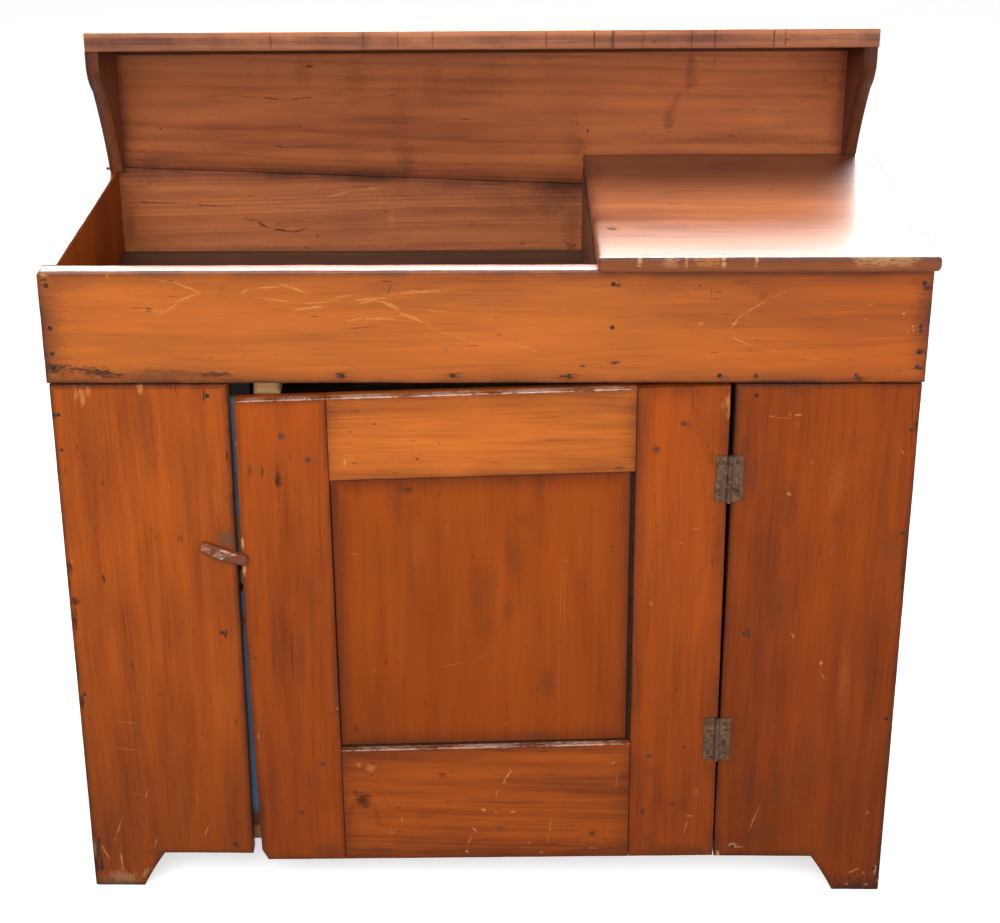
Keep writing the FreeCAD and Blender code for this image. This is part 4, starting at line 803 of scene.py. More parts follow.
def makeBrackets():
    bracket = {"depth": 125.0, "nose": 22.0, "waistDepth": 92.0, "waistDrop": 62.0, "toe": 16.0, "hollow": 5.0,
               "thickness": 18.0}
    back, top, thickness = case["back"], case["shelfUnder"], bracket["thickness"]
    for side, x0, foot, seed, tone in (
            ("left", case["splashLeft"], case["rim"], 2.6, 0.95),
            ("right", case["splashRight"] - thickness, case["surfaceTop"], 4.9, 0.62)):
        light, mid = (tuple(value * tone for value in colour)
                      for colour in ((0.24, 0.070, 0.028), (0.175, 0.050, 0.020)))
        material = pine(side + "BracketPine", light=light, mid=mid, dark=(0.08, 0.022, 0.009), grain="z", face="side",
                        depth=x0, seed=39.0, grime=0.6, shades=(("z", 1.02, 1.07, (0.62, 0.60, 0.60)),))
        nose = (back - bracket["depth"], top - bracket["nose"])
        waist = (back - bracket["waistDepth"], top - bracket["waistDrop"])
        shoulder = (nose[0] + 0.3 * (waist[0] - nose[0]), (nose[1] + waist[1]) / 2)
        toe = (back - bracket["toe"], foot)
        hollow = ((waist[0] + toe[0]) / 2 + bracket["hollow"], (waist[1] + foot) / 2)
        curve = arcPoints(nose, shoulder, waist, 5) + arcPoints(waist, hollow, toe, 9)[1:]
        corners = [(back, foot), (back, top), (nose[0], top)] + curve
        boardPiece("shelf_bracket_" + side, "side", [(corners, (x0, x0 + thickness), seed)], material, "splash_pine",
                   arris=1.5, wave=0.3, nick=2.0, deepest=6.0, step=4.0)


def makeInside():
    floorPine = pine("cupboardPine", light=(0.45, 0.23, 0.10), mid=(0.36, 0.17, 0.07), dark=(0.19, 0.085, 0.032),
                     face="top", depth=case["floorTop"], seed=43.0, grime=0.7, roughness=0.75, coat=0.0, rub=0.2)
    boards = [(rectangle(-inner, inner, y0, y1), (case["floorTop"], case["floorUnder"]), 4.0 + y0 / 70)
              for y0, y1 in rowsBetween(case["front"], case["back"], 3)]
    boardPiece("case_floor_boards", "top", boards, floorPine, "rough_pine", arris=1.2, wave=0.5)
    backPine = pine("backPine", light=(0.42, 0.22, 0.105), mid=(0.33, 0.165, 0.075), dark=(0.17, 0.08, 0.034),
                    depth=case["rear"], seed=47.0, grime=0.6, roughness=0.78, coat=0.0, rub=0.15,
                    pith=(0.40, 0.30), ringWidth=0.009)
    boards = [(rectangle(-case["side"], case["side"], z0, z1), (case["back"], case["rear"]), 5.0 + z0 / 60)
              for z0, z1 in rowsBetween(case["backLow"], case["boardBottom"], 3)]
    boardPiece("case_back_boards", "front", boards, backPine, "rough_pine", arris=1.0, wave=0.6)

    barePine = pine("barePine", light=(0.62, 0.40, 0.17), mid=(0.52, 0.31, 0.125), dark=(0.32, 0.16, 0.06),
                    depth=case["front"], seed=51.0, grime=0.4, roughness=0.8, coat=0.0, rub=0.1, ringWidth=0.004)
    opening, floor, under = case["openingLeft"], case["floorTop"], case["trayUnder"]
    strip = {"left": opening - 33.0, "right": opening + 25.0, "back": 41.0, "notch": (440.0, 481.0),
             "keeper": (451.0, 472.0), "hingeSide": case["openingRight"] + 2.0, "hingeSideWidth": 45.0}
    left, right, (notchLow, notchHigh) = strip["left"], strip["right"], strip["notch"]
    stopStrip = [(left, floor), (right, floor), (right, notchLow), (opening, notchLow), (opening, notchHigh),
                 (right, notchHigh), (right, under), (left, under)]
    block = {"left": opening + 29.0, "right": opening + 63.0, "low": 713.5, "back": 47.0}
    keeper = rectangle(opening, right, *strip["keeper"])
    stopBlock = rectangle(block["left"], block["right"], block["low"], under)
    hingeStrip = rectangle(strip["hingeSide"], strip["hingeSide"] + strip["hingeSideWidth"], floor, under)
    sawnPine = bpy.data.materials["sawnPine"]
    for name, corners, back, material, slot, seed, arris, wave, deepest, step in (
            ("door_stop_strip", stopStrip, strip["back"], bluePaintWood(), "old_blue_paint", 3.7, 1.0, 0.6, 5.0, 6.0),
            ("lock_keeper", keeper, strip["back"], barePine, "bare_pine", 1.9, 0.8, 0.4, 5.0, 3.0),
            ("door_stop_block", stopBlock, block["back"], barePine, "bare_pine", 2.9, 1.0, 0.6, 7.0, 3.0),
            ("hinge_side_strip", hingeStrip, strip["back"], sawnPine, "rough_pine", 6.9, 0.8, 0.4, 12.0, 6.0)):
        boardPiece(name, "front", [(corners, (case["front"], back), seed)], material, slot, arris=arris, wave=wave,
                   deepest=deepest, step=step)


def bluePaintWood():
    heights = {"barePaint": (0.115, 0.100), "rubbed": (0.500, 0.508, 0.546, 0.552), "shade": (0.706, 0.714)}
    material, tree, shader = principled("bluePaintWood")
    place = addNode(tree, "TexCoord").outputs["Object"]
    z = separate(tree, place)["Z"]
    arris = addNode(tree, "Attribute", attribute_name="arris").outputs["Fac"]
    stretched = vectorCalc(tree, "MULTIPLY", place, (90.0, 90.0, 14.0))
    chipped = ramp(tree, plus(tree, noiseAt(tree, stretched, 1.0, 5.0, 0.6), times(tree, arris, 0.06)), 0.60, 0.66)
    tone = blend(tree, noiseAt(tree, place, 30.0, 4.0), (0.075, 0.155, 0.27, 1), (0.13, 0.25, 0.40, 1))
    bare = calc(tree, "MAXIMUM", chipped, ramp(tree, z, *heights["barePaint"]))
    rubbed = times(tree, ramp(tree, z, *heights["rubbed"][:2]), ramp(tree, z, *heights["rubbed"][2:], 1.0, 0.0))
    shade = ramp(tree, z, *heights["shade"])
    for amount, colour in ((bare, (0.15, 0.065, 0.03, 1)), (shade, (0.006, 0.005, 0.005, 1)),
                           (rubbed, (0.21, 0.18, 0.13, 1))):     # rubbed grey beside the turn button
        tone = blend(tree, amount, tone, colour)
    tree.links.new(tone, shader.inputs["Base Color"])
    shader.inputs["Specular IOR Level"].default_value = 0.15
    shader.inputs["Roughness"].default_value = 0.6
    bump = addNode(tree, "Bump", {"Height": chipped, "Distance": 0.0003, "Strength": 0.8}, invert=True)
    tree.links.new(bump.outputs[0], shader.inputs["Normal"])
    return material


# Door: drawn square, then hung with its lock side dropped and its foot leaning to the hinges
door = {"left": -306.5, "right": 301.5, "top": 733.5, "foot": 54.0, "fall": 20.0, "lean": 5.0, "footRise": 9.0,
        "stile": 113.5, "topRail": 111.0, "bottomRail": 178.5, "face": 2.5, "back": 24.5, "panelFace": 6.0,
        "panelBack": 18.7, "tongueFace": 11.3, "bow": 2.8, "clip": (8.0, 16.0), "fieldGap": 0.8,
        "fieldInset": 6.0, "tongue": 8.0}


lockStileSpots = {
    "grey": ((-249, 664, 5.2, 6.6, 0.4), (-289, 625, 2.4, 5.7, 0.6)),
    "sootAndShade": ((-249, 664, 6.5, 8, 0.35), (-219, 633, 5.2, 6.7, 0.4), (-256, 618, 5.7, 16.7, 0.5),
            (-210, 436, 3.6, 6.6, 0.5), (-236, 599, 10.6, 1, 0.4, -83), (-206, 534, 49.8, 1.5, 0.25, 89),
            (-233, 466, 24.6, 27.5, 0.16), (-252, 707, 47.5, 4.6, 0.25), (-219, 194, 7, 9.2, 0.5),
            (-229, 169, 25.8, 21.9, 0.28), (-202, 269, 1.4, 2.7, 0.5), (-209, 59, 28.5, 14.1, 0.7),
            (-252, 46, 42.9, 8.5, 0.5), (-250, 229, 3.3, 5.4, 0.3), (-216, 131, 4.7, 24.9, 0.3),
            (-287, 130, 6.1, 61, 0.15)),
    "dark": ((-290, 620, 1.8, 10, 0.6), (-275, 620, 1.5, 10, 0.85), (-279, 636, 0.9, 1.7, 0.6),
            (-257, 603, 2.6, 7.7, 0.7), (-305, 653, 1.3, 2.4, 0.6), (-243, 418, 1.1, 1.5, 0.9),
            (-288, 291, 1.2, 2.1, 0.9), (-297, 354, 2.1, 2.1, 0.7), (-294, 255, 1.2, 1.6, 0.8),
            (-269, 130, 0.9, 1.4, 0.5)),
    "knot": ((-256, 607, 5.3, 13.2, 0.9),),
    "pale": ((-258, 574, 0.9, 2.9, 0.5), (-227, 568, 2.6, 1, 0.35), (-280, 697, 1.3, 2.3, 0.45),
            (-258, 526, 0.9, 1.5, 0.5), (-282, 500, 0.9, 1.2, 0.4), (-239, 135, 1.2, 1.1, 0.4),
            (-240, 84, 1.4, 1.1, 0.4), (-275, 245, 0.7, 1.1, 0.5), (-254, 212, 0.7, 0.8, 0.5)),
    "tan": ((-306, 655, 1.1, 7.1, 0.6), (-305, 521, 3.1, 12.3, 0.95), (-304, 482, 2.5, 8.5, 0.9),
            (-192, 280, 1.2, 1.3, 0.8), (-298, 238, 1.2, 5.9, 0.6)),
}


hingeStileSpots = {
    "grey": ((252, 682, 4.8, 5.7, 0.75),),
    "sootAndShade": ((252, 682, 7, 8.1, 0.45), (212, 648, 7, 8.6, 0.4), (256, 709, 17.5, 1.2, 0.8, -86),
            (268, 717, 5.9, 0.6, 0.4, -61), (273, 462, 5.9, 30.5, 0.35), (286, 552, 2.2, 9.9, 0.5, -30),
            (264, 639, 35.1, 2, 0.22, -78), (271, 598, 11, 21.9, 0.16), (282, 637, 6.6, 9.6, 0.5),
            (286, 588, 5.3, 14.6, 0.4), (239, 474, 4.5, 65.7, 0.14), (222, 186, 8, 9.9, 0.45),
            (222, 77, 12, 19.9, 0.55), (258, 60, 57.5, 11.4, 0.55), (263, 137, 11.9, 16.8, 0.3),
            (274, 359, 3.7, 28.8, 0.3), (266, 272, 43.5, 1.2, 0.25, -79), (294, 239, 7, 32.6, 0.6),
            (301, 190, 9.4, 13.8, 0.5), (295, 274, 4.6, 10.7, 0.4)),
    "pale": ((298, 710, 8.7, 11.7, 0.6), (300, 697, 3.9, 10.8, 0.6), (266, 541, 4.5, 1.2, 0.5),
            (248, 521, 3.6, 1, 0.5), (213, 436, 2.3, 6.1, 0.4), (273, 117, 5.7, 1.4, 0.5),
            (269, 100, 1.4, 11.3, 0.4, -10), (281, 156, 4.7, 8.3, 0.15)),
    "dark": ((296, 707, 19.7, 1.1, 0.8, -71), (230, 543, 0.9, 1, 0.6), (299, 564, 1.1, 1.5, 0.5),
            (263, 224, 1.9, 2.2, 0.9), (210, 123, 2.1, 7.3, 0.9), (206, 253, 1.9, 1.4, 0.6)),
}


topRailSpots = {
    "dark": ((-154, 699, 1.9, 1.6, 0.9), (-164, 673, 2.6, 2.1, 0.9), (-134, 683, 2.6, 1.4, 0.85),
            (-82, 636, 2.2, 1.9, 0.9), (-133, 619, 1.7, 1.2, 0.7), (-193, 641, 2.6, 2.1, 0.7),
            (-105, 714, 1.7, 0.9, 0.6), (-54, 657, 1.7, 2.4, 0.5), (-113, 639, 1.3, 0.9, 0.5),
            (-179, 686, 1.1, 0.9, 0.5), (43, 665, 1.3, 1.7, 0.8), (167, 625, 4.4, 1.2, 0.7), (128, 638, 1.3, 1, 0.6)),
    "tan": ((-172, 631, 1.7, 7.1, 0.8), (-186, 607, 8.8, 1.9, 0.5)),
    "pale": ((-168, 641, 7.8, 1.2, 0.5), (-83, 647, 1.7, 1.2, 0.5)),
    "sootAndShade": ((-191, 608, 8.8, 2.4, 0.5), (15, 631, 8.7, 1.9, 0.5), (-167, 658, 8.7, 3.8, 0.25),
            (-172, 690, 25, 1, 0.3, 3), (-92, 621, 60.1, 1.1, 0.25, 4), (18, 631, 7.3, 1.5, 0.5, -2),
            (78, 692, 18.1, 1.2, 0.4, 4), (84, 661, 15.4, 3.3, 0.25), (168, 624, 11, 2.9, 0.5),
            (95, 661, 60.4, 1, 0.2, 2), (160, 702, 26.4, 1, 0.25, -3), (185, 644, 1.8, 21.6, 0.3)),
}


bottomRailSpots = {
    "knot": ((-162, 139, 13.2, 15.5, 0.95), (-172, 151, 5.6, 7.1, 0.6), (-56, 179, 7, 4.1, 0.85),
            (144, 89, 7.2, 6.2, 0.6)),
    "dark": ((-165, 138, 6.1, 8.3, 0.5), (-42, 183, 2.3, 1.9, 0.8), (-148, 197, 2.1, 1.6, 0.8),
            (-150, 178, 2.3, 2.5, 0.7), (-118, 206, 2.1, 1.6, 0.6), (-115, 90, 2.4, 1.7, 0.7),
            (144, 89, 3.4, 2.8, 0.6), (159, 91, 1.9, 2.3, 0.5)),
    "pale": ((-151, 188, 7.9, 6.5, 0.5), (-167, 194, 4.7, 4.3, 0.5), (-111, 109, 6.2, 1.1, 0.7, -83),
            (-2, 125, 2.9, 1.8, 0.9, 40), (-20, 77, 10.1, 1.1, 0.7, 67), (17, 154, 4.7, 1.2, 0.5, 40),
            (-125, 89, 3.3, 1.7, 0.5), (16, 148, 4.9, 1, 0.6, 71), (15, 122, 2.4, 1.7, 0.6), (38, 122, 4.8, 2, 0.7),
            (88, 103, 13.3, 0.9, 0.7, 85), (85, 80, 8.7, 0.8, 0.6, 84), (170, 199, 3.3, 1.9, 0.7),
            (175, 172, 18.3, 0.6, 0.4, 87), (60, 73, 3.8, 1.4, 0.5), (77, 58, 3.9, 2.3, 0.5),
            (145, 65, 8, 0.8, 0.5, -5)),
    "sootAndShade": ((-96, 163, 43.8, 1.2, 0.5, 2), (-95, 133, 32.6, 1.2, 0.45, -9), (-144, 112, 33.7, 1.2, 0.4, -4),
            (-48, 136, 4.7, 3.9, 0.5), (-98, 79, 4.3, 2.8, 0.5), (-138, 60, 21.4, 4.5, 0.5),
            (-54, 97, 64.8, 1.5, 0.35, -1), (-25, 106, 32.5, 1.2, 0.3, 4), (-19, 145, 14, 5.5, 0.25),
            (-78, 115, 14.1, 8.3, 0.3), (-158, 91, 23.4, 1.2, 0.4, -3), (23, 97, 9.6, 8.5, 0.4),
            (91, 106, 41.5, 1.5, 0.4, -10), (113, 158, 52.2, 1.1, 0.3, 4), (53, 138, 28.6, 8.4, 0.25),
            (61, 122, 23.9, 5.6, 0.3), (155, 190, 2.4, 1.4, 0.5), (42, 62, 45.7, 5.7, 0.35)),
    "tan": ((-14, 94, 5.8, 1.2, 0.9, -53), (-24, 59, 3.5, 2, 0.8, -62), (30, 177, 12.4, 1.2, 0.85, 60),
            (26, 168, 3.8, 1.7, 0.9), (-1, 125, 3.3, 2.3, 0.85, -20), (88, 94, 1.4, 2.3, 0.7)),
    "grey": ((23, 99, 6.2, 5.7, 0.35),),
}


panelSpots = {
    "knot": ((-94, 593, 10.1, 4.8, 0.6),),
    "dark": ((-94, 594, 4.4, 1.9, 0.5), (-14, 501, 1.6, 3, 0.8), (2, 518, 1.1, 1.2, 0.6), (-88, 481, 1.6, 2.5, 0.6),
            (162, 514, 2, 2.3, 0.8), (61, 560, 0.9, 4.4, 0.5), (1, 519, 1.1, 1.3, 0.5), (118, 385, 1.8, 2.1, 0.5),
            (206, 251, 1.9, 1.4, 0.5), (-168, 246, 5.1, 7, 0.6), (-180, 219, 7.9, 4.9, 0.9, -40)),
    "sootAndShade": ((-109, 573, 10.1, 29, 0.4), (-104, 592, 15.3, 12, 0.3), (1, 452, 24.6, 50.2, 0.3),
            (3, 399, 20.3, 25.5, 0.4), (-122, 437, 1.8, 7.6, 0.4), (-194, 592, 3.1, 14.4, 0.5),
            (-95, 465, 13.4, 50, 0.15), (51, 552, 13.4, 14.8, 0.3), (41, 497, 20.3, 40.3, 0.35),
            (32, 424, 9.1, 28.3, 0.5), (125, 462, 9.1, 28, 0.3), (183, 606, 3.5, 7.3, 0.5), (69, 587, 8.9, 19.6, 0.2),
            (152, 452, 1.8, 4.1, 0.4), (82, 316, 13.9, 29.3, 0.5), (83, 302, 11.6, 9.6, 0.4),
            (129, 241, 4.4, 1.2, 0.6, 31), (65, 238, 42.3, 8.2, 0.3), (-158, 364, 2.3, 3.1, 0.5),
            (-111, 227, 76.5, 5.9, 0.35), (10, 354, 6.8, 7.8, 0.35)),
    "pale": ((-179, 480, 1.1, 1.2, 0.6), (-162, 503, 6.7, 1.5, 0.25), (-85, 509, 8.9, 49.3, 0.1),
            (104, 495, 2, 1.3, 0.6), (98, 435, 57.8, 0.6, 0.3, 89), (103, 435, 57.8, 0.6, 0.25, -90),
            (29, 256, 1.2, 3.3, 0.4), (97, 318, 78.9, 0.6, 0.25, 90), (126, 225, 70.5, 1.1, 0.2),
            (-142, 335, 2.3, 1.3, 0.6), (-41, 344, 21.9, 0.6, 0.55, 13), (-4, 355, 21.2, 0.5, 0.4, 20)),
}


def hang(x, z):
    lean = door["lean"] * (door["top"] - z) / (door["top"] - door["foot"])
    fall = door["fall"] * (door["right"] - x) / (door["right"] - door["left"])
    return x + lean, z - fall


def doorFoot(x):
    return door["foot"] + door["footRise"] * (door["right"] - x) / (door["right"] - door["left"])


def paintedHighlightAlong(starts, z, strength):
    # a painted highlight line just under a hung edge, where the arris catches the light, in pieces between the given
    # places
    drop, slope = 0.9, degrees(atan2(door["fall"], door["right"] - door["left"]))
    middles = [((a + b) / 2, (b - a) / 2) for a, b in zip(starts, starts[1:])]
    return {"paintedHighlight": [(*(Vector(hang(x, z)) - Vector((0.0, drop))), half * 1.15, 1.1, strength, slope)
                      for x, half in middles]}


def makeDoor():
    left, right, top = door["left"], door["right"], door["top"]
    lockJoint, hingeJoint = left + door["stile"], right - door["stile"]
    panelTop, panelFoot = top - door["topRail"], door["foot"] + door["bottomRail"]
    clipX, clipZ = left + door["clip"][0], doorFoot(left) + door["clip"][1]

    def hung(*points):
        return [hang(*point[:2]) + tuple(point[2:]) for point in points]

    bow = [(left - door["bow"] * sin(pi * share), clipZ + (top - clipZ) * share, 0.0, 1.0)
           for share in (0.85, 0.7, 0.5, 0.3, 0.15)]
    lockStile = hung((clipX, doorFoot(clipX)), (lockJoint, doorFoot(lockJoint), 0.0, 0.1),
                     (lockJoint, top), (left, top, 1.0), *bow, (left, clipZ))
    hingeStile = hung((hingeJoint, doorFoot(hingeJoint)), (right, doorFoot(right), 0.5, 0.7),
                      (right, top, 0.5), (hingeJoint, top, 0.0, 0.1))
    topRail = hung((lockJoint, panelTop, 0.0, 0.3), (hingeJoint, panelTop, 0.0, 0.1),
                   (hingeJoint, top), (lockJoint, top, 0.0, 0.1))
    bottomRail = hung((lockJoint, doorFoot(lockJoint)), (hingeJoint, doorFoot(hingeJoint), 0.0, 0.1),
                      (hingeJoint, panelFoot, 0.0, 1.2), (lockJoint, panelFoot, 0.0, 0.1))
    gap, inset, reach = door["fieldGap"], door["fieldInset"], door["tongue"]
    field = hung((lockJoint + gap, panelFoot + inset, 0.0, 0.6), (hingeJoint - inset, panelFoot + inset, 0.0, 0.5),
                 (hingeJoint - inset, panelTop - gap, 0.0, 0.2), (lockJoint + gap, panelTop - gap, 0.0, 0.4))
    tongue = hung(*rectangle(lockJoint - reach, hingeJoint + reach, panelFoot - reach, panelTop + reach))
    stile = {"light": (0.378, 0.0715, 0.0062), "mid": (0.293, 0.0512, 0.0041), "dark": (0.16, 0.0235, 0.0018),
             "grain": "z", "depth": door["face"], "grime": 0.55, "rub": 0.2,
             "shades": (("z", 0.66, 0.04, (0.76, 0.72, 0.68)),)}
    rail = {"light": (0.588, 0.157, 0.0243), "mid": (0.461, 0.107, 0.0152), "dark": (0.271, 0.057, 0.0076),
            "depth": door["face"], "grime": 0.35, "rub": 0.25}
    # painted highlight lines along the door's top arris and the bottom rail's top arris
    lockLook = {**stile, "seed": 55.0, "pith": (-0.28, -0.12), "tilt": 0.03,
                "spots": {**lockStileSpots, **paintedHighlightAlong((-300, -262, -196), top, 0.6)}}
    hingeLook = {**stile, "seed": 59.0, "pith": (0.30, -0.11), "tilt": -0.03, "spots": hingeStileSpots}
    topLook = {**rail, "seed": 63.0, "pith": (0.60, -0.10), "tilt": 0.04,
               "spots": {**topRailSpots, **paintedHighlightAlong((-192, -95, 10, 120, 186), top, 0.75)}}
    bottomLook = {**rail, "seed": 67.0, "pith": (0.20, -0.12), "tilt": -0.03, "light": (0.380, 0.0790, 0.0090),
                  "mid": (0.244, 0.0448, 0.0049), "dark": (0.14, 0.0230, 0.0026), "contrast": 1.35, "ring": 0.32,
                  "fibre": 0.5, "spots": {**bottomRailSpots, **paintedHighlightAlong((-190, -70, 60, 186), panelFoot, 0.55)}}
    for name, corners, label, look, seed, deepest in (
            ("door_stile_lock", lockStile, "doorStileLockPine", lockLook, 1.4, 9.0),
            ("door_stile_hinge", hingeStile, "doorStileHingePine", hingeLook, 2.4, 30.0),
            ("door_rail_top", topRail, "doorRailTopPine", topLook, 3.4, 30.0),
            ("door_rail_bottom", bottomRail, "doorRailBottomPine", bottomLook, 4.4, 30.0)):
        boardPiece(name, "front", [(corners, (door["face"], door["back"]), seed)], pine(label, **look), "door_pine",
                   body="door", arris=1.3, wave=0.35, nick=2.0, step=5.0, deepest=deepest)
    panelPine = pine("doorPanelPine", light=(0.352, 0.0645, 0.0027), mid=(0.275, 0.0478, 0.0017),
                     dark=(0.156, 0.0250, 0.0016), edgeShade=0.55, contrast=0.75, grain="z",
                     depth=door["panelFace"], seed=71.0, pith=(0.0, 0.42), tilt=0.02, grime=0.35, rub=0.3,
                     # the groove round the field is painted dark: painted shade and dust
                     shades=(("z", 0.60, 0.20, (0.82, 0.79, 0.74)),), dustBelow=door["panelFace"] + 0.6,
                     spots=panelSpots)
    mesh = newMesh()
    addBoard(mesh, field, "front", (door["panelFace"], door["panelBack"]), 5.4, arris=0.8, wave=0.2, nick=1.2)
    addBoard(mesh, tongue, "front", (door["tongueFace"], door["panelBack"] - 0.2), 5.4, arris=0.5, wave=0.0,
             nick=0.0)
    finishPiece("door_panel", mesh, panelPine, "door", ["door_panel"])


# Fastenings: heads scattered on points by Geometry Nodes, one mesh for each set
def headTemplate(name, radius, rise, sides, sunk, uneven):
    mesh = bmesh.new()
    rings = []
    for share, height in ((1.0, -sunk), (1.0, 0.25 * rise), (0.9, 0.7 * rise), (0.55, 0.95 * rise), (0.2, rise)):
        ring = []
        for k in range(sides):
            turn = 2 * pi * k / sides
            lump = 1 + uneven * noise.noise(Vector((3 * cos(turn), 3 * sin(turn), radius + share)))
            ring.append(mesh.verts.new((radius * share * lump * cos(turn) / 1000,
                                        radius * share * lump * sin(turn) / 1000,
                                        height * (1 + uneven * (lump - 1)) / 1000)))
        rings.append(ring)
    joinRings(mesh, rings)
    mesh.faces.new(rings[-1])
    mesh.faces.new(rings[0][::-1])
    bmesh.ops.recalc_face_normals(mesh, faces=mesh.faces)
    return meshObject(name, mesh, smoothTo=50.0)


fullTurn = 6.283     # radians


def scatterGroup():
    group = bpy.data.node_groups.new("scatterHeads", "GeometryNodeTree")
    for label, kind in (("Points", "Geometry"), ("Template", "Object"), ("Size Spread", "Float"), ("Seed", "Int"),
                        ("Material", "Material")):
        group.interface.new_socket(label, in_out="INPUT", socket_type="NodeSocket" + kind)
    group.interface.new_socket("Heads", in_out="OUTPUT", socket_type="NodeSocketGeometry")
    given = group.nodes.new("NodeGroupInput").outputs
    result = group.nodes.new("NodeGroupOutput").inputs

    def add(kind, links, **settings):
        node = group.nodes.new(kind)
        for key, value in settings.items():
            setattr(node, key, value)
        for key, value in links.items():
            if isinstance(value, bpy.types.NodeSocket):
                group.links.new(value, node.inputs[key])
            else:
                node.inputs[key].default_value = value
        return node

    points = add("GeometryNodeMeshToPoints", {"Mesh": given["Points"]})
    info = add("GeometryNodeObjectInfo", {"Object": given["Template"], "As Instance": True})
    way = add("GeometryNodeInputNamedAttribute", {"Name": "way"}, data_type="FLOAT_VECTOR")
    aimed = add("FunctionNodeAlignRotationToVector", {"Vector": way.outputs["Attribute"]}, axis="Z")

    def randomBetween(low, high):
        node = add("FunctionNodeRandomValue", {2: low, 3: high, "Seed": given["Seed"]}, data_type="FLOAT")
        return next(socket for socket in node.outputs if socket.enabled)

    spin = add("ShaderNodeCombineXYZ", {2: randomBetween(0.0, fullTurn)})
    turned = add("FunctionNodeRotateRotation", {
        "Rotation": aimed.outputs[0],
        "Rotate By": add("FunctionNodeEulerToRotation", {0: spin.outputs[0]}).outputs[0]}, rotation_space="LOCAL")
    least, most = (add("ShaderNodeMath", {0: 1.0, 1: given["Size Spread"]}, operation=operation).outputs[0]
                   for operation in ("SUBTRACT", "ADD"))
    placed = add("GeometryNodeInstanceOnPoints", {"Points": points.outputs[0], "Instance": info.outputs["Geometry"],
                                                  "Rotation": turned.outputs[0], "Scale": randomBetween(least, most)})
    solid = add("GeometryNodeRealizeInstances", {0: placed.outputs[0]})
    finish = add("GeometryNodeSetMaterial", {"Geometry": solid.outputs[0], "Material": given["Material"]})
    group.links.new(finish.outputs[0], result["Heads"])
    return group


scatterHeads = scatterGroup()


def islandHeads(node):
    # the head end of each nail or peg in a CAD node: place of its face, and the way it faces
    mesh = bmesh.new()
    mesh.from_mesh(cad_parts[node].data)
    bmesh.ops.remove_doubles(mesh, verts=mesh.verts, dist=mergeDistance)
    heads, left = [], set(mesh.verts)
    while left:
        stack, island = [left.pop()], []
        while stack:
            vert = stack.pop()
            island.append(vert.co.copy())
            for edge in vert.link_edges:
                other = edge.other_vert(vert)
                if other in left:
                    left.discard(other)
                    stack.append(other)
        low = Vector(min(co[k] for co in island) for k in range(3))
        high = Vector(max(co[k] for co in island) for k in range(3))
        axis = max(range(3), key=lambda k: high[k] - low[k])
        others = [k for k in range(3) if k != axis]

        def width(end):
            near = [co for co in island if abs(co[axis] - end[axis]) < 0.0005]
            return sum(max(co[k] for co in near) - min(co[k] for co in near) for k in others)

        place = (low + high) / 2
        way = Vector((0, 0, 0))
        way[axis] = 1 if width(high) >= width(low) else -1
        place[axis] = high[axis] if way[axis] > 0 else low[axis]
        heads.append((place, way))
    mesh.free()
    return sorted(heads, key=lambda head: tuple(head[0]))     # so each keeps its turn and size in every run


def scatterPiece(name, node, template, material, body, lift, seed, heads=None, spread=0.12):
    points = bpy.data.meshes.new(name)
    heads = heads or islandHeads(node)
    points.from_pydata([place + way * lift / 1000 for place, way in heads], [], [])
    ways = points.attributes.new("way", "FLOAT_VECTOR", "POINT")
    ways.data.foreach_set("vector", [value for place, way in heads for value in way])
    piece = bpy.data.objects.new(name, points)
    scene.collection.objects.link(piece)
    scatter = piece.modifiers.new("scatter", "NODES")
    scatter.node_group = scatterHeads
    values = {"Template": template, "Size Spread": spread, "Seed": seed, "Material": material}
    for item in scatterHeads.interface.items_tree:
        if item.in_out == "INPUT" and item.name in values:
            scatter[item.identifier] = values[item.name]
    bpy.context.view_layer.update()
    evaluated = piece.evaluated_get(bpy.context.evaluated_depsgraph_get())
    solid = bpy.data.meshes.new_from_object(evaluated)
    piece.modifiers.clear()
    piece.data = solid
    solid.name = name
    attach(piece, body)
    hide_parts(node)


def metal(name, base, worn, dirt, roughness, wornRoughness, metallic, scale=260.0, pits=0.00010):
    material, tree, shader = principled(name)
    place = addNode(tree, "TexCoord").outputs["Object"]
    cloud = noiseAt(tree, place, scale, 4.0, 0.6)
    fine = noiseAt(tree, place, scale * 5, 3.0, 0.6)
    polished = ramp(tree, plus(tree, times(tree, cloud, 0.7), times(tree, fine, 0.3)), 0.50, 0.62)
    dirty = ramp(tree, noiseAt(tree, place, scale * 0.6, 5.0, 0.65), 0.53, 0.64)
    tone = blend(tree, polished, base + (1,), worn + (1,))
    tone = blend(tree, dirty, tone, dirt + (1,))
    tree.links.new(tone, shader.inputs["Base Color"])
    rough = ramp(tree, polished, 0.0, 1.0, roughness, wornRoughness, smooth=False)
    tree.links.new(plus(tree, rough, times(tree, dirty, 0.2)), shader.inputs["Roughness"])
    metalness = times(tree, minus(tree, 1.0, times(tree, dirty, 0.8)), metallic)
    tree.links.new(metalness, shader.inputs["Metallic"])
    shader.inputs["Specular IOR Level"].default_value = 0.25
    bump = addNode(tree, "Bump", {"Height": plus(tree, cloud, times(tree, fine, 0.5)),
                                  "Distance": pits, "Strength": 0.7})
    tree.links.new(bump.outputs[0], shader.inputs["Normal"])
    return material


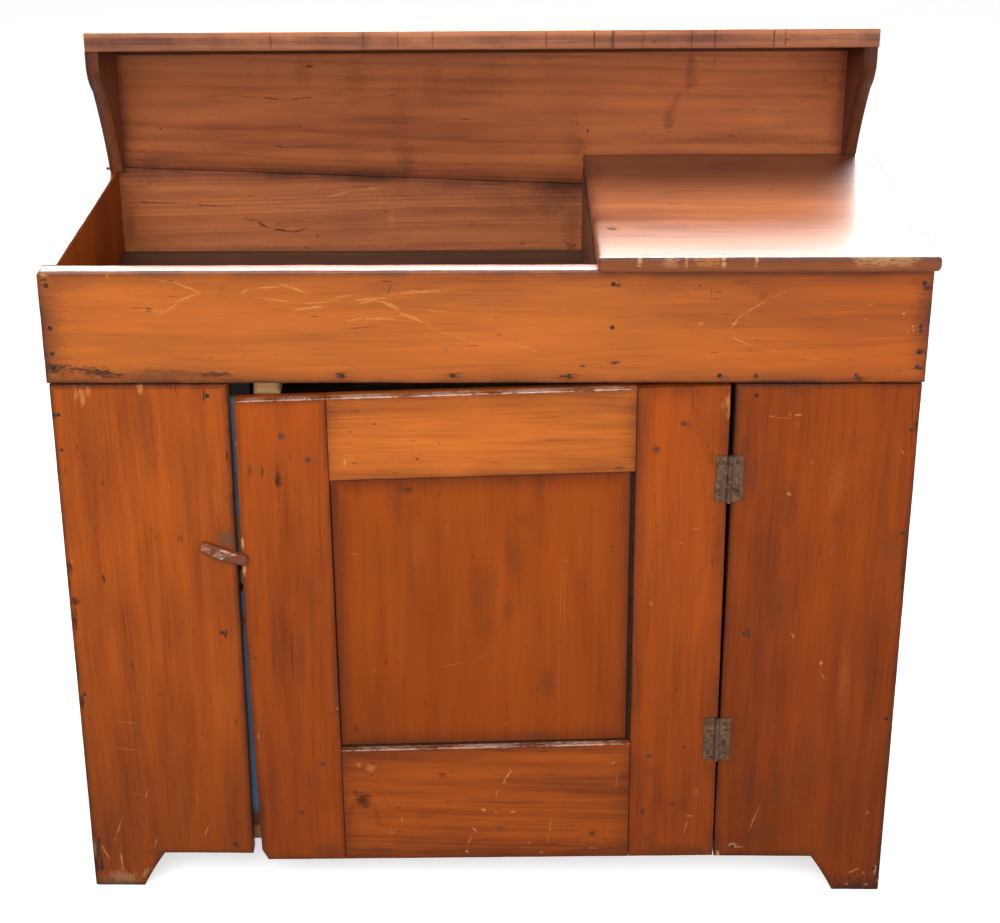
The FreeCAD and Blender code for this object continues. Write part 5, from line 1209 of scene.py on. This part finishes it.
def makeFastenings():
    iron = metal("nailIron", (0.048, 0.022, 0.013), (0.10, 0.055, 0.032), (0.025, 0.010, 0.006), 0.75, 0.6, 0.25)
    pegWood = pine("pegWood", light=(0.15, 0.045, 0.018), mid=(0.10, 0.030, 0.012), dark=(0.05, 0.015, 0.007),
                   grain="y", depth=0.0, ringWidth=0.002, pith=(0.0, 0.0), wobble=0.002, roughness=0.6, coat=0.1,
                   relief=0.0004)
    nailHead = {"radius": 2.9, "rise": 0.25, "sides": 9, "sunk": 1.0, "uneven": 0.16}
    pegEnd = {"radius": 3.9, "rise": 0.3, "sides": 12, "sunk": 1.0, "uneven": 0.10}
    nailTemplate, pegTemplate = headTemplate("nailTemplate", **nailHead), headTemplate("pegTemplate", **pegEnd)
    nailLift = 0.3
    for seed, owner in enumerate(("front_board", "stile", "sink_floor", "work_surface", "shelf", "back", "floor")):
        node = owner + "_nails"
        scatterPiece(node + "_heads", node, nailTemplate, iron, "case", nailLift, seed)
    pegs = [(Vector((place.x, toFrame(0, door[face], 0).y, place.z)), Vector((0, way, 0)))
            for place, _ in islandHeads("door_pegs") for face, way in (("face", -1), ("back", 1))]
    scatterPiece("door_pegs_ends", "door_pegs", pegTemplate, pegWood, "door", 0.0, 20, pegs)
    for template in (nailTemplate, pegTemplate):
        bpy.data.objects.remove(template)


def makeHinges():
    leaf = {"arris": 0.00022, "arrisSteps": 2, "flatAngle": 1.0, "sharpAngle": 50.0}
    brass = metal("agedBrass", (0.098, 0.052, 0.029), (0.155, 0.088, 0.048), (0.040, 0.019, 0.012), 0.55, 0.42, 0.6,
                  scale=200.0)
    screwBrass = metal("brassScrew", (0.085, 0.040, 0.019), (0.17, 0.092, 0.040), (0.030, 0.014, 0.008), 0.5, 0.36,
                       0.7)
    steel = metal("pinSteel", (0.10, 0.06, 0.04), (0.24, 0.18, 0.13), (0.04, 0.02, 0.012), 0.5, 0.35, 0.8)
    for level in ("upper", "lower"):
        for owner in ("case", "door"):
            node = "hinge_{}_{}_leaf".format(level, owner)
            mesh = bmesh.new()
            mesh.from_mesh(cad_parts[node].data)
            bmesh.ops.remove_doubles(mesh, verts=mesh.verts, dist=mergeDistance)
            bmesh.ops.dissolve_limit(mesh, angle_limit=radians(leaf["flatAngle"]), verts=mesh.verts, edges=mesh.edges)
            sharp = [edge for edge in mesh.edges
                     if len(edge.link_faces) == 2 and edge.calc_face_angle(0.0) > radians(leaf["sharpAngle"])]
            bmesh.ops.bevel(mesh, geom=sharp, offset=leaf["arris"], segments=leaf["arrisSteps"], affect="EDGES",
                            clamp_overlap=True)
            finishPiece(node + "_dressed", mesh, brass, owner, [node], smoothTo=35.0)
    buttonSteel = metal("buttonScrewSteel", (0.20, 0.12, 0.075), (0.42, 0.33, 0.24), (0.06, 0.035, 0.022), 0.45, 0.32,
                        0.7)
    for node, material in (("hinge_pins", steel), ("hinge_screws_case", screwBrass),
                           ("hinge_screws_door", screwBrass), ("turn_button_screw", buttonSteel)):
        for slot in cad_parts[node].material_slots:
            slot.material = material


# Turn button: a whittled bar, flat cuts left by the knife
button = {"pivot": (-331.0, 508.0), "tilt": 19.5, "back": 2.1, "thickness": 12.0, "start": -27.5, "end": 33.5,
          "halfWidth": 8.25, "arris": 0.0007,
          # share of the length, half width, depth, sideways
          "stations": ((0.0, 5.4, 8.5, 1.2), (0.05, 7.2, 10.6, 0.9), (0.22, 7.9, 11.6, -0.1), (0.42, 8.2, 12.0, -0.3),
                       (0.56, 8.1, 11.8, 0.0), (0.72, 7.4, 10.8, 0.0), (0.9, 7.6, 9.6, 0.0), (0.97, 6.9, 8.8, 0.0),
                       (1.0, 5.2, 7.4, 0.0))}


def makeButton():
    material = pine("whittledWood", light=(0.20, 0.052, 0.020), mid=(0.12, 0.030, 0.013), dark=(0.05, 0.013, 0.007),
                    face="front", depth=-10.0, seed=75.0, ringWidth=0.003, pith=(0.5, -0.03), wobble=0.004,
                    grime=0.7, rub=0.45, rubbed=(0.40, 0.13, 0.05), relief=0.00012, roughness=0.4, coat=0.3,
                    # the first spots are painted highlights on the knife-cut ridge
                    spots={"paintedHighlight": ((-327, 513.5, 9, 1.0, 0.6, -18), (-316, 508.5, 6, 1.0, 0.5, -8)),
                           "tan": ((-350, 517, 8, 5, 0.45, -20), (-334, 509, 8, 5, 0.5, -20),
                                   (-338, 507, 6, 1.5, 0.6, -20)),
                           "dark": ((-341, 513, 3, 7, 0.6, -20),), "grey": ((-331, 508, 9, 8, 0.3),)})
    mesh = newMesh()
    arrisLayer, nearLayer = (mesh.verts.layers.float[label] for label in boardLayers[:2])
    slope = radians(-button["tilt"])
    rings = []
    for share, half, deep, offset in button["stations"]:
        u = button["start"] + (button["end"] - button["start"]) * share
        outline = ((-half, 0.0), (-half, -0.62 * deep), (-0.62 * half, -0.97 * deep), (0.55 * half, -deep),
                   (half, -0.7 * deep), (half * 0.98, 0.0))
        ring = []
        for k, (v, y) in enumerate(outline):
            jitter = 0.5 * noise.noise(Vector((u * 0.21, k * 3.1, 5.0)))
            v = max(-button["halfWidth"], min(button["halfWidth"], v + offset + jitter))
            y = 0.0 if y == 0 else max(-button["thickness"], y + 0.6 * jitter)
            x = button["pivot"][0] + u * cos(slope) - v * sin(slope)
            z = button["pivot"][1] + u * sin(slope) + v * cos(slope)
            vert = mesh.verts.new(toFrame(x, button["back"] + y, z))
            vert[arrisLayer] = 1.0 if k in (2, 3) else 0.5
            vert[nearLayer] = 0.6 if k in (0, 1, 5) else 0.2
            ring.append(vert)
        rings.append(ring)
    joinRings(mesh, rings)
    mesh.faces.new(rings[0])
    mesh.faces.new(rings[-1][::-1])
    bmesh.ops.recalc_face_normals(mesh, faces=mesh.faces)
    bmesh.ops.bevel(mesh, geom=list(mesh.edges), offset=button["arris"], segments=2, affect="EDGES",
                    clamp_overlap=True)
    finishPiece("turn_button_whittled", mesh, material, "turn_button", ["turn_button"], smoothTo=24.0)


stages = (makeFrontBoard, makeStiles, makeSides, makeTray, makeWorkSurface, makeSplash, makeShelf, makeBrackets,
          makeInside, makeDoor, makeFastenings, makeHinges, makeButton)
for number, make in enumerate(stages, 1):
    make()
    print("stage", number, make.__name__)


# Stage, lights and camera
def seenDirectly(tree):
    # the pale surround, for the camera, for gloss and through glass; the object's light stays plain
    path = addNode(tree, "LightPath").outputs
    seen = calc(tree, "MAXIMUM", path["Is Camera Ray"], path["Is Transmission Ray"])
    return calc(tree, "MAXIMUM", seen, path["Is Glossy Ray"])


def makeFloor():
    floor = {"size": 14.0, "colour": (0.80, 0.80, 0.79), "height": -0.0002}
    mesh = bmesh.new()
    bmesh.ops.create_grid(mesh, x_segments=1, y_segments=1, size=floor["size"])
    piece = meshObject("studioFloor", mesh)
    piece.location.z = floor["height"]
    material, tree, shader = principled("studioFloor")
    place = addNode(tree, "TexCoord").outputs["Object"]
    seen = seenDirectly(tree)
    tone = blend(tree, noiseAt(tree, place, 3.0, 3.0), floor["colour"] + (1,), (0.84, 0.84, 0.83, 1))
    tone = blend(tree, seen, (0.22, 0.20, 0.18, 1), tone)
    tree.links.new(tone, shader.inputs["Base Color"])
    shader.inputs["Roughness"].default_value = 0.85
    shader.inputs["Specular IOR Level"].default_value = 0.1
    shader.inputs["Emission Color"].default_value = (1, 1, 1, 1)
    tree.links.new(times(tree, seen, 0.6), shader.inputs["Emission Strength"])
    piece.data.materials.append(material)


def makeWorld():
    world = bpy.data.worlds.new("studioWorld")
    scene.world = world
    world.use_nodes = True
    tree = world.node_tree
    background = tree.nodes["Background"]
    background.inputs["Color"].default_value = (1, 1, 1, 1)
    strength = ramp(tree, seenDirectly(tree), 0.0, 1.0, 0.42, 1.0, smooth=False)
    tree.links.new(strength, background.inputs["Strength"])


def makeLight(name, place, target, size, power, glossyOnly=False, diffuseOnly=False):
    light = bpy.data.lights.new(name, "AREA")
    light.shape = "RECTANGLE"
    light.size, light.size_y = size
    light.energy = power
    piece = bpy.data.objects.new(name, light)
    piece.location = place
    piece.rotation_euler = (Vector(target) - Vector(place)).to_track_quat("-Z", "Y").to_euler()
    piece.visible_camera = False
    piece.visible_diffuse = not glossyOnly
    piece.visible_glossy = not diffuseOnly
    scene.collection.objects.link(piece)


def makeCamera():
    view = {"place": (0.0192, -2.51725, 1.6283), "yaw": -0.0312, "pitch": 0.4060, "roll": 0.0125, "lens": 72.54,
            "shift": (0.057, -0.0086)}
    data = bpy.data.cameras.new("studioCamera")
    data.lens = view["lens"]
    data.sensor_width = 36.0
    data.shift_x, data.shift_y = view["shift"]
    data.clip_start = 0.05
    piece = bpy.data.objects.new("studioCamera", data)
    piece.location = view["place"]
    turn = (Matrix.Rotation(-view["yaw"], 4, "Z") @ Matrix.Rotation(pi / 2 - view["pitch"], 4, "X")
            @ Matrix.Rotation(-view["roll"], 4, "Z"))
    piece.rotation_euler = turn.to_euler()
    scene.collection.objects.link(piece)
    scene.camera = piece


makeFloor()
makeWorld()
makeLight("keySoftbox", (-0.9, -3.0, 2.6), (0.0, 0.0, 0.5), (2.6, 2.0), 97.0)
makeLight("fillSoftbox", (1.8, -2.6, 1.4), (0.0, 0.0, 0.4), (2.0, 2.0), 30.0)
makeLight("topSoftbox", (0.1, 0.9, 3.1), (0.0, 0.1, 0.9), (1.6, 1.0), 42.0, diffuseOnly=True)
makeLight("lowGlareSoftbox", (0.7, 3.0, 1.9), (0.1, 0.0, 0.95), (5.5, 1.3), 80.0, glossyOnly=True)
makeLight("highGlareSoftbox", (0.5, 2.9, 3.15), (0.0, 0.0, 0.9), (4.5, 1.4), 900.0, glossyOnly=True)
makeCamera()
scene.view_settings.view_transform = "Standard"
print("stage, lights and camera ready")
